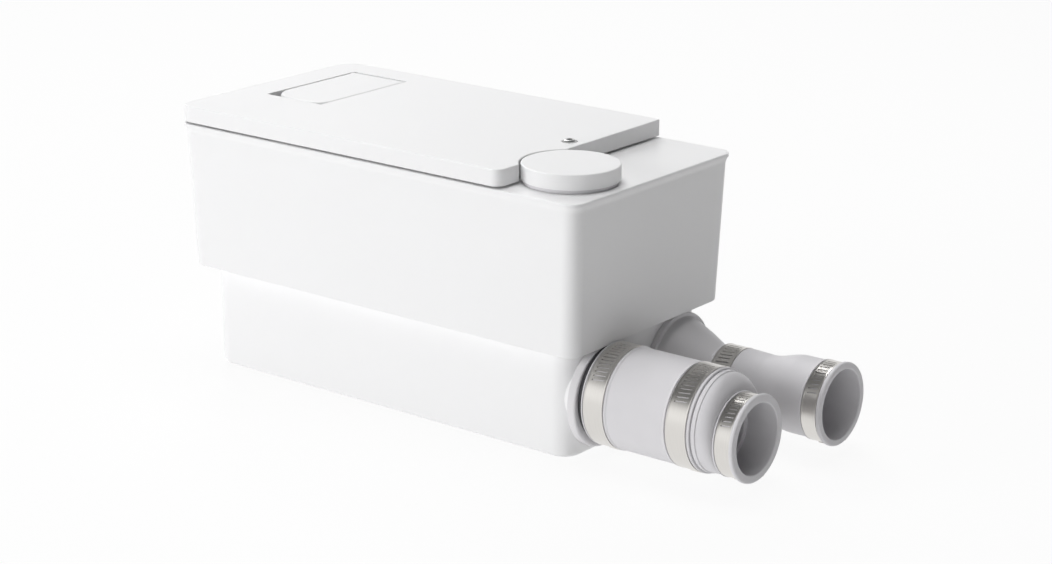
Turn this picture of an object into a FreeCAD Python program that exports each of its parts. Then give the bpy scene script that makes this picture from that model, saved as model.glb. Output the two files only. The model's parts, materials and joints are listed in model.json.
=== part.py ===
import FreeCAD, Part
import math
import os

# Compact sewage lifting station for a shower or basin: a small collecting tank under a
# boxed hood, a vertical pump on the deck between them, a drain inlet and a pressure
# discharge side by side on the right-hand end.
# Frame: X along the housing with both ports at +X, Y towards the back, Z up, millimetres.
# The pieces are drawn about the middle of the housing and moved at the end, so that the
# origin lies under the middle of the whole unit, on the surface it stands on.

# Overall sizes of the hood and the tank
HOOD_LENGTH = 300.0
HOOD_WIDTH = 153.6
HOOD_TOP = 154.7
TANK_TOP = 74.0

# Collecting tank, whose rim fits inside the hood
TANK_WALL = 3.0
RIM_REACH = 5.35
TANK_CORNER = 12.0
TANK_BOTTOM_ROUND = 3.5
RIM_THICKNESS = 4.0
BOSS_RADIUS = 6.0
BOSS_DEPTH = 18.0
BOSS_INSET = 8.0
BOSS_SHARES = (-0.86, -0.32, 0.365)
FOOT_HEIGHT = 1.5
FOOT_RADIUS = 8.0
FOOT_INSET_X = 19.0
FOOT_INSET_Y = 16.0

# Deck between the tank and the dry space above
SEAL_THICKNESS = 2.0
DECK_THICKNESS = 4.0
DECK_SCREW_RADIUS = 2.0
DECK_SCREW_HEAD_RADIUS = 4.0
DECK_SCREW_HEAD_HEIGHT = 2.6
DECK_SCREW_LENGTH = 16.0
VENT_RADIUS = 8.0

# Hood
HOOD_OVERLAP = 8.6
HOOD_WALL = 3.0
HOOD_CORNER = 9.0
HOOD_SETBACK = 2.8
HOOD_EDGE_ROUND = 0.8
RIM_FLARE = 1.25
RIM_BAND = 6.0
RIM_COVE = ((0.0, 1.0), (0.4, 0.6), (0.65, 0.0))
HOOD_FIT = 0.5
SHOULDER = 1.6
SNAP_DEPTH = 1.4
SNAP_LENGTH = 16.0
SNAP_HEIGHT = 3.0
SNAP_SHARES = (-0.3, 0.0, 0.3)

# Service opening in the top of the hood, and the frame that the lid's rim drops into
OPENING_FROM_LEFT = 12.0
OPENING_FROM_LID_END = 27.2
OPENING_FROM_SIDE = 10.8
OPENING_CORNER = 8.0
OPENING_LEDGE = 5.0
FRAME_DEPTH = 7.0
FRAME_WALL = 2.5
LEDGE_DEPTH = 4.0
LID_SEAL_WIDTH = 3.5
LID_SEAL_HEIGHT = 1.7

# Lid
LID_FROM_RIGHT = 52.8
LID_SHADOW_GAP = 1.3
LID_THICKNESS = 9.7
LID_SKIN = 3.0
LID_WALL = 3.0
LID_CORNERS = (10.0, 6.0, 2.0, 14.0)
LID_EDGE_ROUND = 0.6
LID_RIM_WALL = 2.5
BODY_GAP = 0.3
SMALLEST_CORNER = 0.5

# Lid screw, captive in the lid and threaded into an insert in the hood
LID_SCREW_FROM_END = 9.5
LID_SCREW_Y = 0.0
LID_SCREW_RADIUS = 3.0
LID_SCREW_HEAD_RADIUS = 4.2
LID_SCREW_HEAD_HEIGHT = 3.2
LID_SCREW_SOCKET = 1.6
LID_SCREW_REACH = 12.0
LID_SCREW_PROUD = 1.2
LID_SCREW_RECESS = 0.5
INSERT_RADIUS = 5.0
INSERT_LENGTH = 9.0
RETAINER_RADIUS = 5.5
RETAINER_THICKNESS = 1.0
SCREW_BOSS_LIFT = 1.0
SCREW_BOSS_WALL = 3.0
RUNNING_GAP = 0.05

# Flap over the finger recess in the lid
RECESS_FROM_LEFT = 22.8
RECESS_WIDTH = 44.4
RECESS_FROM_OPENING = 8.6
RECESS_LENGTH = 80.4
RECESS_DEPTH = 15.7
RECESS_WALL = 2.0
FLAP_THICKNESS = 4.5
FLAP_GAP = 0.5
FLAP_FRONT_LEFT_ROUND = 18.0
FLAP_FRONT_RIGHT_ROUND = 12.0
FLAP_EDGE_ROUND = 1.8
FLAP_BARREL = 2.7
FLAP_PIN_RADIUS = 1.0
FLAP_PIN_SEAT = 1.5

# Odour filter under the round cap
FILTER_FROM_RIGHT = 33.2
FILTER_FROM_FRONT = 39.7
CAP_RADIUS = 28.0
CAP_HEIGHT = 8.7
CAP_ROUND = 0.8
CAP_SPIGOT_DEPTH = 6.0
CAP_CLEARANCE = 1.1
NECK_RADIUS = 26.8
BASKET_RADIUS = 20.2
BASKET_WALL = 1.5
BASKET_LIP = 2.0
BASKET_LIP_HEIGHT = 1.6
BASKET_DEPTH = 52.0
BASKET_SLOTS = 8
BASKET_SLOT_SHARES = (0.25, 0.8)
CARBON_HEIGHT = 44.0
HOUSING_GAP = 1.8
HOUSING_WALL = 2.0

# Drain inlet
INLET_FROM_FRONT = 28.4
INLET_FROM_TOP = 37.2
INLET_END_DROP = 4.8
SPIGOT_RADIUS = 26.0
SPIGOT_WALL = 3.5
SPIGOT_REACH = 28.0
SPIGOT_INSIDE = 6.0
COLLAR_RADIUS = 30.0
COLLAR_DROP = 2.3
COLLAR_THICKNESS = 5.2
COLLAR_ROUND = 1.3
INLET_SLEEVE_SETBACK = 9.2
INLET_SLEEVE_LENGTH = 72.3
INLET_SLEEVE_WALL = 3.3
SLEEVE_LIP = 0.8
RIDGE_WIDTH = 0.8
RIDGE_RAMP = 0.4
BAND_ROOM = 0.4
BAND_SEAT_SINK = 0.3
REDUCER_INSERT = 28.6
REDUCER_BEAD = 3.0
REDUCER_SHOULDER = 8.0
SHOULDER_STEPS = 5
REDUCER_BEAD_RISE = 2.6
REDUCER_BEAD_STEP = 0.6
REDUCER_REACH = 24.9
REDUCER_RADIUS = 23.3
REDUCER_LIP_RADIUS = 25.0
REDUCER_PASSAGE = 17.5
END_LIP = 2.7
LIP_LEAD = 0.6
LIP_ROUND = ((0.9, 0.0), (0.3, 0.5), (0.0, 1.3))
INLET_BORE = 20.2
INLET_SOCKET = 20.0

# Pressure discharge
DISCHARGE_FROM_BACK = 23.9
NIPPLE_FLANGE_SHARE = 0.4106
NIPPLE_FLANGE_LIFT = 1.0
NIPPLE_FLANGE_THICKNESS = 3.4
NIPPLE_FLANGE_STEP = 2.4
NIPPLE_FLANGE_CHAMFER = 0.8
NIPPLE_HOLLOW = 0.54
NIPPLE_SPIGOT_RADIUS = 16.0
NIPPLE_CONE_LENGTH = 28.0
NIPPLE_REACH = 54.9
NIPPLE_BORE = 12.0
OUTLET_SLEEVE_SETBACK = 33.9
OUTLET_SLEEVE_LENGTH = 79.5
OUTLET_SMALL_RADIUS = 18.4
OUTLET_LARGE_RADIUS = 22.5
OUTLET_NECK_LENGTH = 31.0
OUTLET_SWELL_LENGTH = 21.0
OUTLET_LIP_RADIUS = 24.2
OUTLET_PASSAGE = 15.0
DISCHARGE_BORE = 20.3
DISCHARGE_SOCKET = 24.5
SOCKET_TAPER = 4.0

# Worm-drive hose clamps: each is placed from the end of its sleeve to the middle of its band
CLAMP_THICKNESS = 0.7
CLAMP_WIDTH = 13.0
NARROW_CLAMP_WIDTH = 9.3
CLAMP_FROM_SLEEVE_START = 8.1
CLAMP_FROM_SLEEVE_END = 9.0
CLAMP_FROM_REDUCER_END = 7.7
CLAMP_FROM_NECK_START = 7.4
CLAMP_FROM_OUTLET_END = 7.9
SLOT_WIDTH = 1.0
SLOT_PITCH = 2.5
SLOT_SHARE = 0.62
SLOT_FIRST_ANGLE = 88.0
SLOT_LAST_ANGLE = 152.0
SLOT_SLANT = 6.0
WORM_RADIUS = 3.2
WORM_TAIL = 1.5
WORM_HOUSING_WALL = 1.0
WORM_HOUSING_LENGTH = 13.0
WORM_HEAD_FLATS = 7.0
WORM_HEAD_HEIGHT = 4.0
WORM_SLOT = 1.2
WORM_ANGLE = -50.0

# Pump: spiral casing, cover with the shaft column, impeller and strainer
PUMP_X = -20.0
SPIRAL_RADIUS = 30.75
SPIRAL_STEP = 3.5
CHAMBER_HEIGHT = 16.0
CASING_WALL = 3.0
OUTLET_RADIUS = 11.0
OUTLET_REACH = 42.0
EYE_RADIUS = 14.0
STRAINER_RADIUS = 23.0
STRAINER_WALL = 3.0
STRAINER_SLOT = 4.0
STRAINER_SLOTS = 8
STRAINER_BAND = 4.0
COLUMN_RADIUS = 16.0
COLUMN_BORE = 12.0
COLUMN_FLANGE = 24.0
COLUMN_FLANGE_THICKNESS = 3.0
SHAFT_PASS = 4.5
SEAL_SEAT_RADIUS = 8.0
SEAL_SEAT_HEIGHT = 7.0
SHAFT_SEAL_HEIGHT = 6.0
IMPELLER_RADIUS = 26.0
IMPELLER_HUB = 7.0
IMPELLER_SHROUD = 2.0
IMPELLER_GAP = 1.0
VANE_COUNT = 5
VANE_THICKNESS = 2.0
VANE_ROOT = 5.0
VANE_CURVE = 30.0

# Pipe and non-return valve between the pump and the discharge
PIPE_SOCKET = 8.0
PIPE_SOCKET_WALL = 3.0
VALVE_RADIUS = 20.0
VALVE_WALL = 2.8
VALVE_FROM_END = 25.1
VALVE_LENGTH = 39.0
VALVE_SEAT = 3.0
VALVE_NECK = 11.0
VALVE_STUB_SEAT = 4.0
CHECK_FLAP_RADIUS = 12.8
CHECK_FLAP_THICKNESS = 2.5
CHECK_PIVOT_RISE = 13.8
CHECK_BARREL = 2.0
CHECK_BARREL_LENGTH = 10.0
HINGE_PIN_RADIUS = 1.0
CHECK_PIN_HALF = 11.5

# Backflow flap inside the tank, over the drain inlet
INLET_FLAP_RADIUS = 24.0
INLET_FLAP_THICKNESS = 2.5
INLET_PIVOT_RISE = 29.0
INLET_BARREL = 2.4
INLET_BARREL_LENGTH = 17.0
EAR_THICKNESS = 3.0
EAR_GAP = 0.5

# Motor
SHAFT_RADIUS = 4.0
SHAFT_END_GAP = 1.0
BEARING_RADIUS = 11.0
BEARING_WIDTH = 7.0
BEARING_GROOVE = 0.6
BEARING_GROOVE_WIDTH = 3.0
MOTOR_FLANGE_RADIUS = 47.0
MOTOR_FLANGE_THICKNESS = 4.0
BEARING_HOUSING = 14.0
MOTOR_CAN_RADIUS = 40.0
MOTOR_CAN_WALL = 2.0
MOTOR_HEADROOM = 19.7
END_BELL_THICKNESS = 5.0
END_BELL_BEVEL = 3.0
END_BELL_BEVEL_HEIGHT = 2.0
STATOR_BORE = 20.0
WINDING_INNER = 23.0
WINDING_OUTER = 35.0
WINDING_HEIGHT = 8.0
WINDING_ROOM = 6.0
WINDING_ROUND = 2.0
ROTOR_GAP = 0.6
TIE_ROD_CIRCLE = 42.8
TIE_ROD_ANGLES = (45.0, 135.0, 225.0, 315.0)
TIE_ROD_RADIUS = 2.0
TIE_ROD_HEAD = 3.5
TIE_ROD_HEAD_HEIGHT = 3.0
TIE_ROD_LUG = 4.2
RIB_COUNT = 12
RIB_HEIGHT = 1.6
RIB_THICKNESS = 1.8
RIB_END_GAP = 4.0

# Level sensing and electronics
BELL_FROM_END = 85.1
BELL_FROM_INLET = 23.5
BELL_RADIUS = 11.0
BELL_WALL = 2.0
BELL_BOTTOM = 12.0
BELL_PORT_RADIUS = 4.0
BELL_PORT_BORE = 2.0
BELL_PORT_RISE = 8.0
SWITCH_RADIUS = 22.0
SWITCH_BASE = 6.0
SWITCH_TOP_RADIUS = 17.0
SWITCH_HEIGHT = 18.0
SWITCH_SLOPE = 1.5
SWITCH_EDGE = 1.0
TAB_COUNT = 3
TAB_SIZE = (0.8, 6.3, 7.0)
BOARD_FROM_LEFT = 32.0
BOARD_FROM_SIDES = 46.5
BOARD_HEADROOM = 9.0
BOARD_THICKNESS = 1.6
RAIL_WIDTH = 16.0
RAIL_HEIGHT = 8.0
RAIL_MARGIN = 2.0
RAIL_SLOT = 5.0
RELAY_SIZE = (14.0, 26.0, 20.0)
RELAY_EDGE = 1.0
RELAY_PLACE = (0.26, 0.52)
TERMINAL_SIZE = (11.0, 44.0, 12.0)
TERMINAL_PLACE = (-0.2, 0.3)
TERMINAL_WAYS = 6
TERMINAL_HOLE = 1.6
CAPACITOR_FROM_BOARD = 32.0
CAPACITOR_FROM_FRONT = 29.2
CAPACITOR_RADIUS = 15.0
CAPACITOR_HEADROOM = 19.7
CRIMP_EDGE = 1.0
CRIMP_DEPTH = 1.5
CLIP_WALL = 1.5
CLIP_HEIGHT = 10.0
CLIP_FOOT = 6.0
CLIP_SPLIT = 6.0
GROMMET_FROM_LEFT = 42.0
GROMMET_ABOVE_DECK = 12.0
GROMMET_RADIUS = 9.0
GROMMET_NECK = 6.5
GROMMET_FLANGE = 1.6

# Outlines that follow from the hood
HALF_LENGTH = HOOD_LENGTH / 2
HALF_WIDTH = HOOD_WIDTH / 2
HOOD_INSET = RIM_FLARE + HOOD_SETBACK
CAVITY_LENGTH = HOOD_LENGTH - 2 * (HOOD_INSET + HOOD_WALL)
CAVITY_WIDTH = HOOD_WIDTH - 2 * (HOOD_INSET + HOOD_WALL)
RIM_LENGTH = CAVITY_LENGTH - 2 * HOOD_FIT
RIM_WIDTH = CAVITY_WIDTH - 2 * HOOD_FIT
TANK_LENGTH = RIM_LENGTH - 2 * RIM_REACH
TANK_WIDTH = RIM_WIDTH - 2 * RIM_REACH
TANK_END = TANK_LENGTH / 2
TANK_SIDE = TANK_WIDTH / 2
LID_RIGHT = HALF_LENGTH - LID_FROM_RIGHT
OPENING_LEFT = OPENING_FROM_LEFT - HALF_LENGTH
OPENING_RIGHT = LID_RIGHT - OPENING_FROM_LID_END
OPENING_HALF_WIDTH = HALF_WIDTH - OPENING_FROM_SIDE
RECESS_LEFT = RECESS_FROM_LEFT - HALF_LENGTH
RECESS_RIGHT = RECESS_LEFT + RECESS_WIDTH
RECESS_BACK = OPENING_HALF_WIDTH - RECESS_FROM_OPENING
RECESS_FRONT = RECESS_BACK - RECESS_LENGTH
LID_SCREW_X = LID_RIGHT - LID_SCREW_FROM_END
FILTER_X = HALF_LENGTH - FILTER_FROM_RIGHT
FILTER_Y = FILTER_FROM_FRONT - HALF_WIDTH
GROMMET_X = GROMMET_FROM_LEFT - HALF_LENGTH

# Heights
TANK_BOTTOM = FOOT_HEIGHT
TANK_FLOOR = TANK_BOTTOM + TANK_WALL
DECK_BOTTOM = TANK_TOP + SEAL_THICKNESS
DECK_TOP = DECK_BOTTOM + DECK_THICKNESS
HOOD_BOTTOM = TANK_TOP - HOOD_OVERLAP
HOOD_PLATE = HOOD_TOP - HOOD_WALL
LID_BOTTOM = HOOD_TOP + LID_SHADOW_GAP
LID_TOP = LID_BOTTOM + LID_THICKNESS
LEDGE_Z = HOOD_TOP - LEDGE_DEPTH
LID_RIM_BOTTOM = LEDGE_Z + LID_SEAL_HEIGHT + BODY_GAP
CAP_BOTTOM = LID_TOP - CAP_HEIGHT
RECESS_FLOOR = LID_TOP - RECESS_DEPTH
FLAP_PIVOT_Y = RECESS_BACK - FLAP_GAP - FLAP_BARREL
FLAP_PIVOT_Z = LID_TOP - FLAP_BARREL
BASKET_LIP_BOTTOM = HOOD_TOP - BASKET_LIP_HEIGHT + BODY_GAP
BASKET_TOP = BASKET_LIP_BOTTOM + BASKET_LIP_HEIGHT
BASKET_BOTTOM = BASKET_TOP - BASKET_DEPTH
GROMMET_Z = DECK_TOP + GROMMET_ABOVE_DECK

# The two ports
INLET_Y = INLET_FROM_FRONT - TANK_SIDE
INLET_Z = TANK_TOP - INLET_FROM_TOP
INLET_END_Z = INLET_Z - INLET_END_DROP
DISCHARGE_Y = TANK_SIDE - DISCHARGE_FROM_BACK
NIPPLE_FLANGE_RADIUS = NIPPLE_FLANGE_SHARE * (DISCHARGE_Y - INLET_Y)
DISCHARGE_Z = NIPPLE_FLANGE_RADIUS + NIPPLE_FLANGE_LIFT
NIPPLE_ROOT_RADIUS = NIPPLE_FLANGE_RADIUS - NIPPLE_FLANGE_STEP
NIPPLE_MIDDLE_RADIUS = NIPPLE_SPIGOT_RADIUS + NIPPLE_HOLLOW * (NIPPLE_ROOT_RADIUS - NIPPLE_SPIGOT_RADIUS)
INLET_SLEEVE_START = TANK_END + INLET_SLEEVE_SETBACK
INLET_SLEEVE_END = INLET_SLEEVE_START + INLET_SLEEVE_LENGTH
REDUCER_START = INLET_SLEEVE_END - REDUCER_INSERT
REDUCER_END = INLET_SLEEVE_END + REDUCER_REACH
NIPPLE_END = TANK_END + NIPPLE_REACH
OUTLET_SLEEVE_START = TANK_END + OUTLET_SLEEVE_SETBACK
OUTLET_SLEEVE_END = OUTLET_SLEEVE_START + OUTLET_SLEEVE_LENGTH
OUTLET_SWELL_START = OUTLET_SLEEVE_START + OUTLET_NECK_LENGTH
OUTLET_SWELL_END = OUTLET_SWELL_START + OUTLET_SWELL_LENGTH
CLAMP_AT_TANK = INLET_SLEEVE_START + CLAMP_FROM_SLEEVE_START
CLAMP_AT_REDUCER = INLET_SLEEVE_END - CLAMP_FROM_SLEEVE_END
CLAMP_AT_INLET_END = REDUCER_END - CLAMP_FROM_REDUCER_END
CLAMP_AT_NIPPLE = OUTLET_SLEEVE_START + CLAMP_FROM_NECK_START
CLAMP_AT_OUTLET_END = OUTLET_SLEEVE_END - CLAMP_FROM_OUTLET_END
SPIGOT_BORE = SPIGOT_RADIUS - SPIGOT_WALL
CENTRE_X = (OUTLET_SLEEVE_END - HALF_LENGTH) / 2

# Pump, valves and flaps in the tank
SPIRAL_LAST_RADIUS = SPIRAL_RADIUS + 3 * SPIRAL_STEP
PUMP_Y = DISCHARGE_Y + OUTLET_RADIUS - SPIRAL_LAST_RADIUS - SPIRAL_STEP / 2
CHAMBER_BOTTOM = DISCHARGE_Z - CHAMBER_HEIGHT / 2
CHAMBER_TOP = DISCHARGE_Z + CHAMBER_HEIGHT / 2
CASING_BOTTOM = CHAMBER_BOTTOM - CASING_WALL
COVER_TOP = CHAMBER_TOP + CASING_WALL
CASING_OUTLET_END = PUMP_X + OUTLET_REACH
VALVE_END = TANK_END - VALVE_FROM_END
VALVE_SEAT_X = VALVE_END - VALVE_LENGTH
PIPE_END = VALVE_SEAT_X - VALVE_NECK
CHECK_FLAP_FACE = VALVE_SEAT_X + BODY_GAP
CHECK_PIVOT_X = CHECK_FLAP_FACE + CHECK_FLAP_THICKNESS / 4
CHECK_PIVOT_Z = DISCHARGE_Z + CHECK_PIVOT_RISE
INLET_SEAT_X = TANK_END - TANK_WALL - SPIGOT_INSIDE
INLET_FLAP_FACE = INLET_SEAT_X - BODY_GAP
INLET_PIVOT_X = INLET_FLAP_FACE - INLET_FLAP_THICKNESS / 5
INLET_PIVOT_Z = INLET_Z + INLET_PIVOT_RISE
INLET_PIN_HALF = INLET_BARREL_LENGTH / 2 + EAR_GAP + EAR_THICKNESS
BELL_X = TANK_END - BELL_FROM_END
BELL_Y = INLET_Y + BELL_FROM_INLET

# Motor and controls on the deck
MOTOR_FLANGE_TOP = DECK_TOP + MOTOR_FLANGE_THICKNESS
MOTOR_CAN_LENGTH = HOOD_PLATE - MOTOR_HEADROOM - DECK_TOP
LOWER_BEARING = MOTOR_FLANGE_TOP
UPPER_BEARING = MOTOR_FLANGE_TOP + MOTOR_CAN_LENGTH - BEARING_WIDTH
CAN_TOP = MOTOR_FLANGE_TOP + MOTOR_CAN_LENGTH
BELL_TOP = CAN_TOP + END_BELL_THICKNESS
STATOR_BOTTOM = MOTOR_FLANGE_TOP + WINDING_HEIGHT + WINDING_ROOM
STATOR_LENGTH = MOTOR_CAN_LENGTH - 2 * (WINDING_HEIGHT + WINDING_ROOM)
STATOR_TOP = STATOR_BOTTOM + STATOR_LENGTH
BOARD_X = BOARD_FROM_LEFT - HALF_LENGTH
BOARD_LENGTH = RIM_WIDTH - BOARD_FROM_SIDES
BOARD_BOTTOM = DECK_TOP + RAIL_HEIGHT - RAIL_SLOT
BOARD_HEIGHT = RECESS_FLOOR - RECESS_WALL - BOARD_HEADROOM - BOARD_BOTTOM
CAPACITOR_X = BOARD_X + CAPACITOR_FROM_BOARD
CAPACITOR_Y = CAPACITOR_FROM_FRONT - RIM_WIDTH / 2
CAPACITOR_HEIGHT = HOOD_PLATE - CAPACITOR_HEADROOM - DECK_TOP

X_AXIS = FreeCAD.Vector(1, 0, 0)
Y_AXIS = FreeCAD.Vector(0, 1, 0)
Z_AXIS = FreeCAD.Vector(0, 0, 1)

# How far apart two places may lie and still count as one when edges are picked
PICK_TOLERANCE = 0.01


def rod(x, y, z, radius, length, axis=Z_AXIS):
    """A cylinder from (x, y, z) along an axis."""
    return Part.makeCylinder(radius, length, FreeCAD.Vector(x, y, z), axis)


def tube(x, y, z, outer, inner, length, axis=Z_AXIS):
    """A straight tube from (x, y, z) along an axis."""
    return rod(x, y, z, outer, length, axis).cut(rod(x, y, z, inner, length, axis))


def block(x0, x1, y0, y1, z0, z1):
    """A box between two corners."""
    return Part.makeBox(x1 - x0, y1 - y0, z1 - z0, FreeCAD.Vector(x0, y0, z0))


def rounded_wire(x0, x1, y0, y1, z, radii):
    """A rectangle at height z with its corners rounded: front-left, front-right, back-right, back-left."""
    corners = ((x0, y0, 180), (x1, y0, 270), (x1, y1, 0), (x0, y1, 90))
    inward = ((1, 1), (-1, 1), (-1, -1), (1, -1))
    arcs = []
    for (x, y, start), (sx, sy), radius in zip(corners, inward, radii):
        centre = FreeCAD.Vector(x + sx * radius, y + sy * radius, z)
        circle = Part.Circle(centre, Z_AXIS, radius)
        arcs.append(Part.Arc(circle, math.radians(start), math.radians(start + 90)).toShape())
    edges = []
    for arc, following in zip(arcs, arcs[1:] + arcs[:1]):
        edges.append(arc)
        edges.append(Part.makeLine(arc.Vertexes[-1].Point, following.Vertexes[0].Point))
    return Part.Wire(edges)


def rounded_plate(x0, x1, y0, y1, z0, z1, radii):
    """A plate with rounded corners between two heights."""
    return Part.Face(rounded_wire(x0, x1, y0, y1, z0, radii)).extrude(FreeCAD.Vector(0, 0, z1 - z0))


def centred_plate(length, width, z0, z1, radius):
    """A plate with four alike corners, centred on the housing."""
    return rounded_plate(-length / 2, length / 2, -width / 2, width / 2, z0, z1, (radius,) * 4)


def turned(profile, x, y, z, axis):
    """A solid of revolution: profile edges are drawn in the plane of the axis and Y or X, about (x, y, z)."""
    face = Part.Face(Part.Wire(profile))
    return face.revolve(FreeCAD.Vector(x, y, z), axis, 360)


def polyline(points):
    """Straight edges through the points and back to the first."""
    return [Part.makeLine(a, b) for a, b in zip(points, points[1:] + points[:1])]


def turned_on_x(stations, y, z):
    """Revolves (x, radius) stations about an axis along X."""
    points = [FreeCAD.Vector(x, y, z + radius) for x, radius in stations]
    return turned(polyline(points), 0, y, z, X_AXIS)


def turned_on_z(stations, x, y):
    """Revolves (radius, z) stations about an axis along Z."""
    points = [FreeCAD.Vector(x + radius, y, z) for radius, z in stations]
    return turned(polyline(points), x, y, 0, Z_AXIS)


def around_z(shape, x, y, count, sweep=360.0):
    """Copies of a shape, evenly spaced about a vertical axis."""
    copies = []
    for index in range(count):
        copy = shape.copy()
        copy.rotate(FreeCAD.Vector(x, y, 0), Z_AXIS, sweep * index / count)
        copies.append(copy)
    return copies


def fused(shapes):
    """One solid from touching or overlapping shapes."""
    return shapes[0].fuse(shapes[1:]).removeSplitter()


def edges_at_height(shape, z):
    """The edges of a shape that lie wholly at one height."""
    level = [e for e in shape.Edges if e.BoundBox.ZLength < PICK_TOLERANCE]
    return [e for e in level if abs(e.BoundBox.ZMin - z) < PICK_TOLERANCE]


def ring_plate(x0, x1, y0, y1, z0, z1, radius, width):
    """A flat rectangular ring of one width with rounded corners."""
    outer = rounded_plate(x0, x1, y0, y1, z0, z1, (radius,) * 4)
    inner_radius = max(radius - width, SMALLEST_CORNER)
    inner = rounded_plate(x0 + width, x1 - width, y0 + width, y1 - width, z0, z1, (inner_radius,) * 4)
    return outer.cut(inner)


def boss_places():
    """Where the deck screws stand, three along each long side."""
    y = TANK_SIDE - BOSS_INSET
    return [(share * TANK_END, side * y) for share in BOSS_SHARES for side in (-1, 1)]


def make_tank():
    """The tank: a deep tray with an outward rim, screw bosses, the inlet spigot and the ears of its flap."""
    shell = centred_plate(TANK_LENGTH, TANK_WIDTH, TANK_BOTTOM, TANK_TOP, TANK_CORNER)
    shell = shell.makeFillet(TANK_BOTTOM_ROUND, edges_at_height(shell, TANK_BOTTOM))
    rim = centred_plate(RIM_LENGTH, RIM_WIDTH, TANK_TOP - RIM_THICKNESS, TANK_TOP, TANK_CORNER)
    inside_length = TANK_LENGTH - 2 * TANK_WALL
    inside_width = TANK_WIDTH - 2 * TANK_WALL
    cavity = centred_plate(inside_length, inside_width, TANK_FLOOR, TANK_TOP, TANK_CORNER - TANK_WALL)
    spigot_start = INLET_SEAT_X
    spigot_length = TANK_END + SPIGOT_REACH - spigot_start
    spigot = rod(spigot_start, INLET_Y, INLET_Z, SPIGOT_RADIUS, spigot_length, X_AXIS)
    tray = fused([shell, rim]).cut(cavity)
    additions = [tray, spigot.cut(outside_the_tank_wall())]
    additions += [rod(x, y, TANK_TOP - BOSS_DEPTH, BOSS_RADIUS, BOSS_DEPTH) for x, y in boss_places()]
    additions += inlet_flap_ears()
    tank = fused(additions)
    cuts = [rod(spigot_start, INLET_Y, INLET_Z, SPIGOT_BORE, spigot_length, X_AXIS)]
    cuts.append(rod(VALVE_END, DISCHARGE_Y, DISCHARGE_Z, stub_radius(), TANK_END - VALVE_END, X_AXIS))
    pilot = DECK_SCREW_LENGTH - DECK_THICKNESS - SEAL_THICKNESS
    cuts += [rod(x, y, TANK_TOP - pilot, DECK_SCREW_RADIUS, pilot) for x, y in boss_places()]
    cuts.append(inlet_flap_pin_rod())
    return tank.cut(cuts).removeSplitter()


def outside_the_tank_wall():
    """The space in front of the tank's front wall, which the spigot's inner end must not cross."""
    front = -TANK_SIDE
    return block(INLET_SEAT_X, TANK_END, front - SPIGOT_RADIUS, front, 0, TANK_TOP)


def inlet_flap_pin_rod():
    """The hinge pin of the backflow flap."""
    start = INLET_Y - INLET_PIN_HALF
    return rod(INLET_PIVOT_X, start, INLET_PIVOT_Z, HINGE_PIN_RADIUS, 2 * INLET_PIN_HALF, Y_AXIS)


def inlet_flap_ears():
    """Two ears on the tank's end wall that hold the pin of the backflow flap."""
    ears = []
    for side in (-1, 1):
        near = INLET_Y + side * (INLET_BARREL_LENGTH / 2 + EAR_GAP)
        y0, y1 = sorted((near, near + side * EAR_THICKNESS))
        plate = block(INLET_PIVOT_X, TANK_END - TANK_WALL, y0, y1,
                      INLET_PIVOT_Z - INLET_BARREL, INLET_PIVOT_Z + INLET_BARREL)
        nose = rod(INLET_PIVOT_X, y0, INLET_PIVOT_Z, INLET_BARREL, EAR_THICKNESS, Y_AXIS)
        ears += [plate, nose]
    return ears


def make_inlet_flap():
    """The backflow flap: a disc hung from a barrel on its pin."""
    x = INLET_FLAP_FACE - INLET_FLAP_THICKNESS
    return hung_flap(x, INLET_FLAP_THICKNESS, INLET_Y, INLET_Z, INLET_FLAP_RADIUS,
                     INLET_PIVOT_X, INLET_PIVOT_Z, INLET_BARREL, INLET_BARREL_LENGTH)


def make_check_flap():
    """The flap of the non-return valve, hung from its pin against the seat."""
    return hung_flap(CHECK_FLAP_FACE, CHECK_FLAP_THICKNESS, DISCHARGE_Y, DISCHARGE_Z, CHECK_FLAP_RADIUS,
                     CHECK_PIVOT_X, CHECK_PIVOT_Z, CHECK_BARREL, CHECK_BARREL_LENGTH)


def hung_flap(x, thickness, y, z, radius, pivot_x, pivot_z, barrel, barrel_length):
    """A round valve flap with a hinge barrel above it."""
    disc = rod(x, y, z, radius, thickness, X_AXIS)
    arm = block(x, x + thickness, y - barrel_length / 2, y + barrel_length / 2, z + radius / 2, pivot_z)
    knuckle = rod(pivot_x, y - barrel_length / 2, pivot_z, barrel, barrel_length, Y_AXIS)
    bore = rod(pivot_x, y - barrel_length / 2, pivot_z, HINGE_PIN_RADIUS + RUNNING_GAP, barrel_length, Y_AXIS)
    return fused([disc, arm, knuckle]).cut(bore)


def make_feet():
    """Four thin rubber pads under the tank's floor."""
    x = TANK_END - FOOT_INSET_X
    y = TANK_SIDE - FOOT_INSET_Y
    pads = [rod(sx * x, sy * y, 0, FOOT_RADIUS, FOOT_HEIGHT) for sx in (-1, 1) for sy in (-1, 1)]
    return Part.makeCompound(pads)


def make_tank_seal():
    """The flat gasket on the tank's rim, with an eye round each screw."""
    outer = centred_plate(RIM_LENGTH, RIM_WIDTH, TANK_TOP, DECK_BOTTOM, TANK_CORNER)
    inside = centred_plate(TANK_LENGTH - 2 * TANK_WALL, TANK_WIDTH - 2 * TANK_WALL, TANK_TOP, DECK_BOTTOM,
                           TANK_CORNER - TANK_WALL)
    eyes = [rod(x, y, TANK_TOP, BOSS_RADIUS, SEAL_THICKNESS) for x, y in boss_places()]
    holes = [rod(x, y, TANK_TOP, DECK_SCREW_RADIUS, SEAL_THICKNESS) for x, y in boss_places()]
    return fused([outer.cut(inside)] + eyes).cut(holes)


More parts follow.
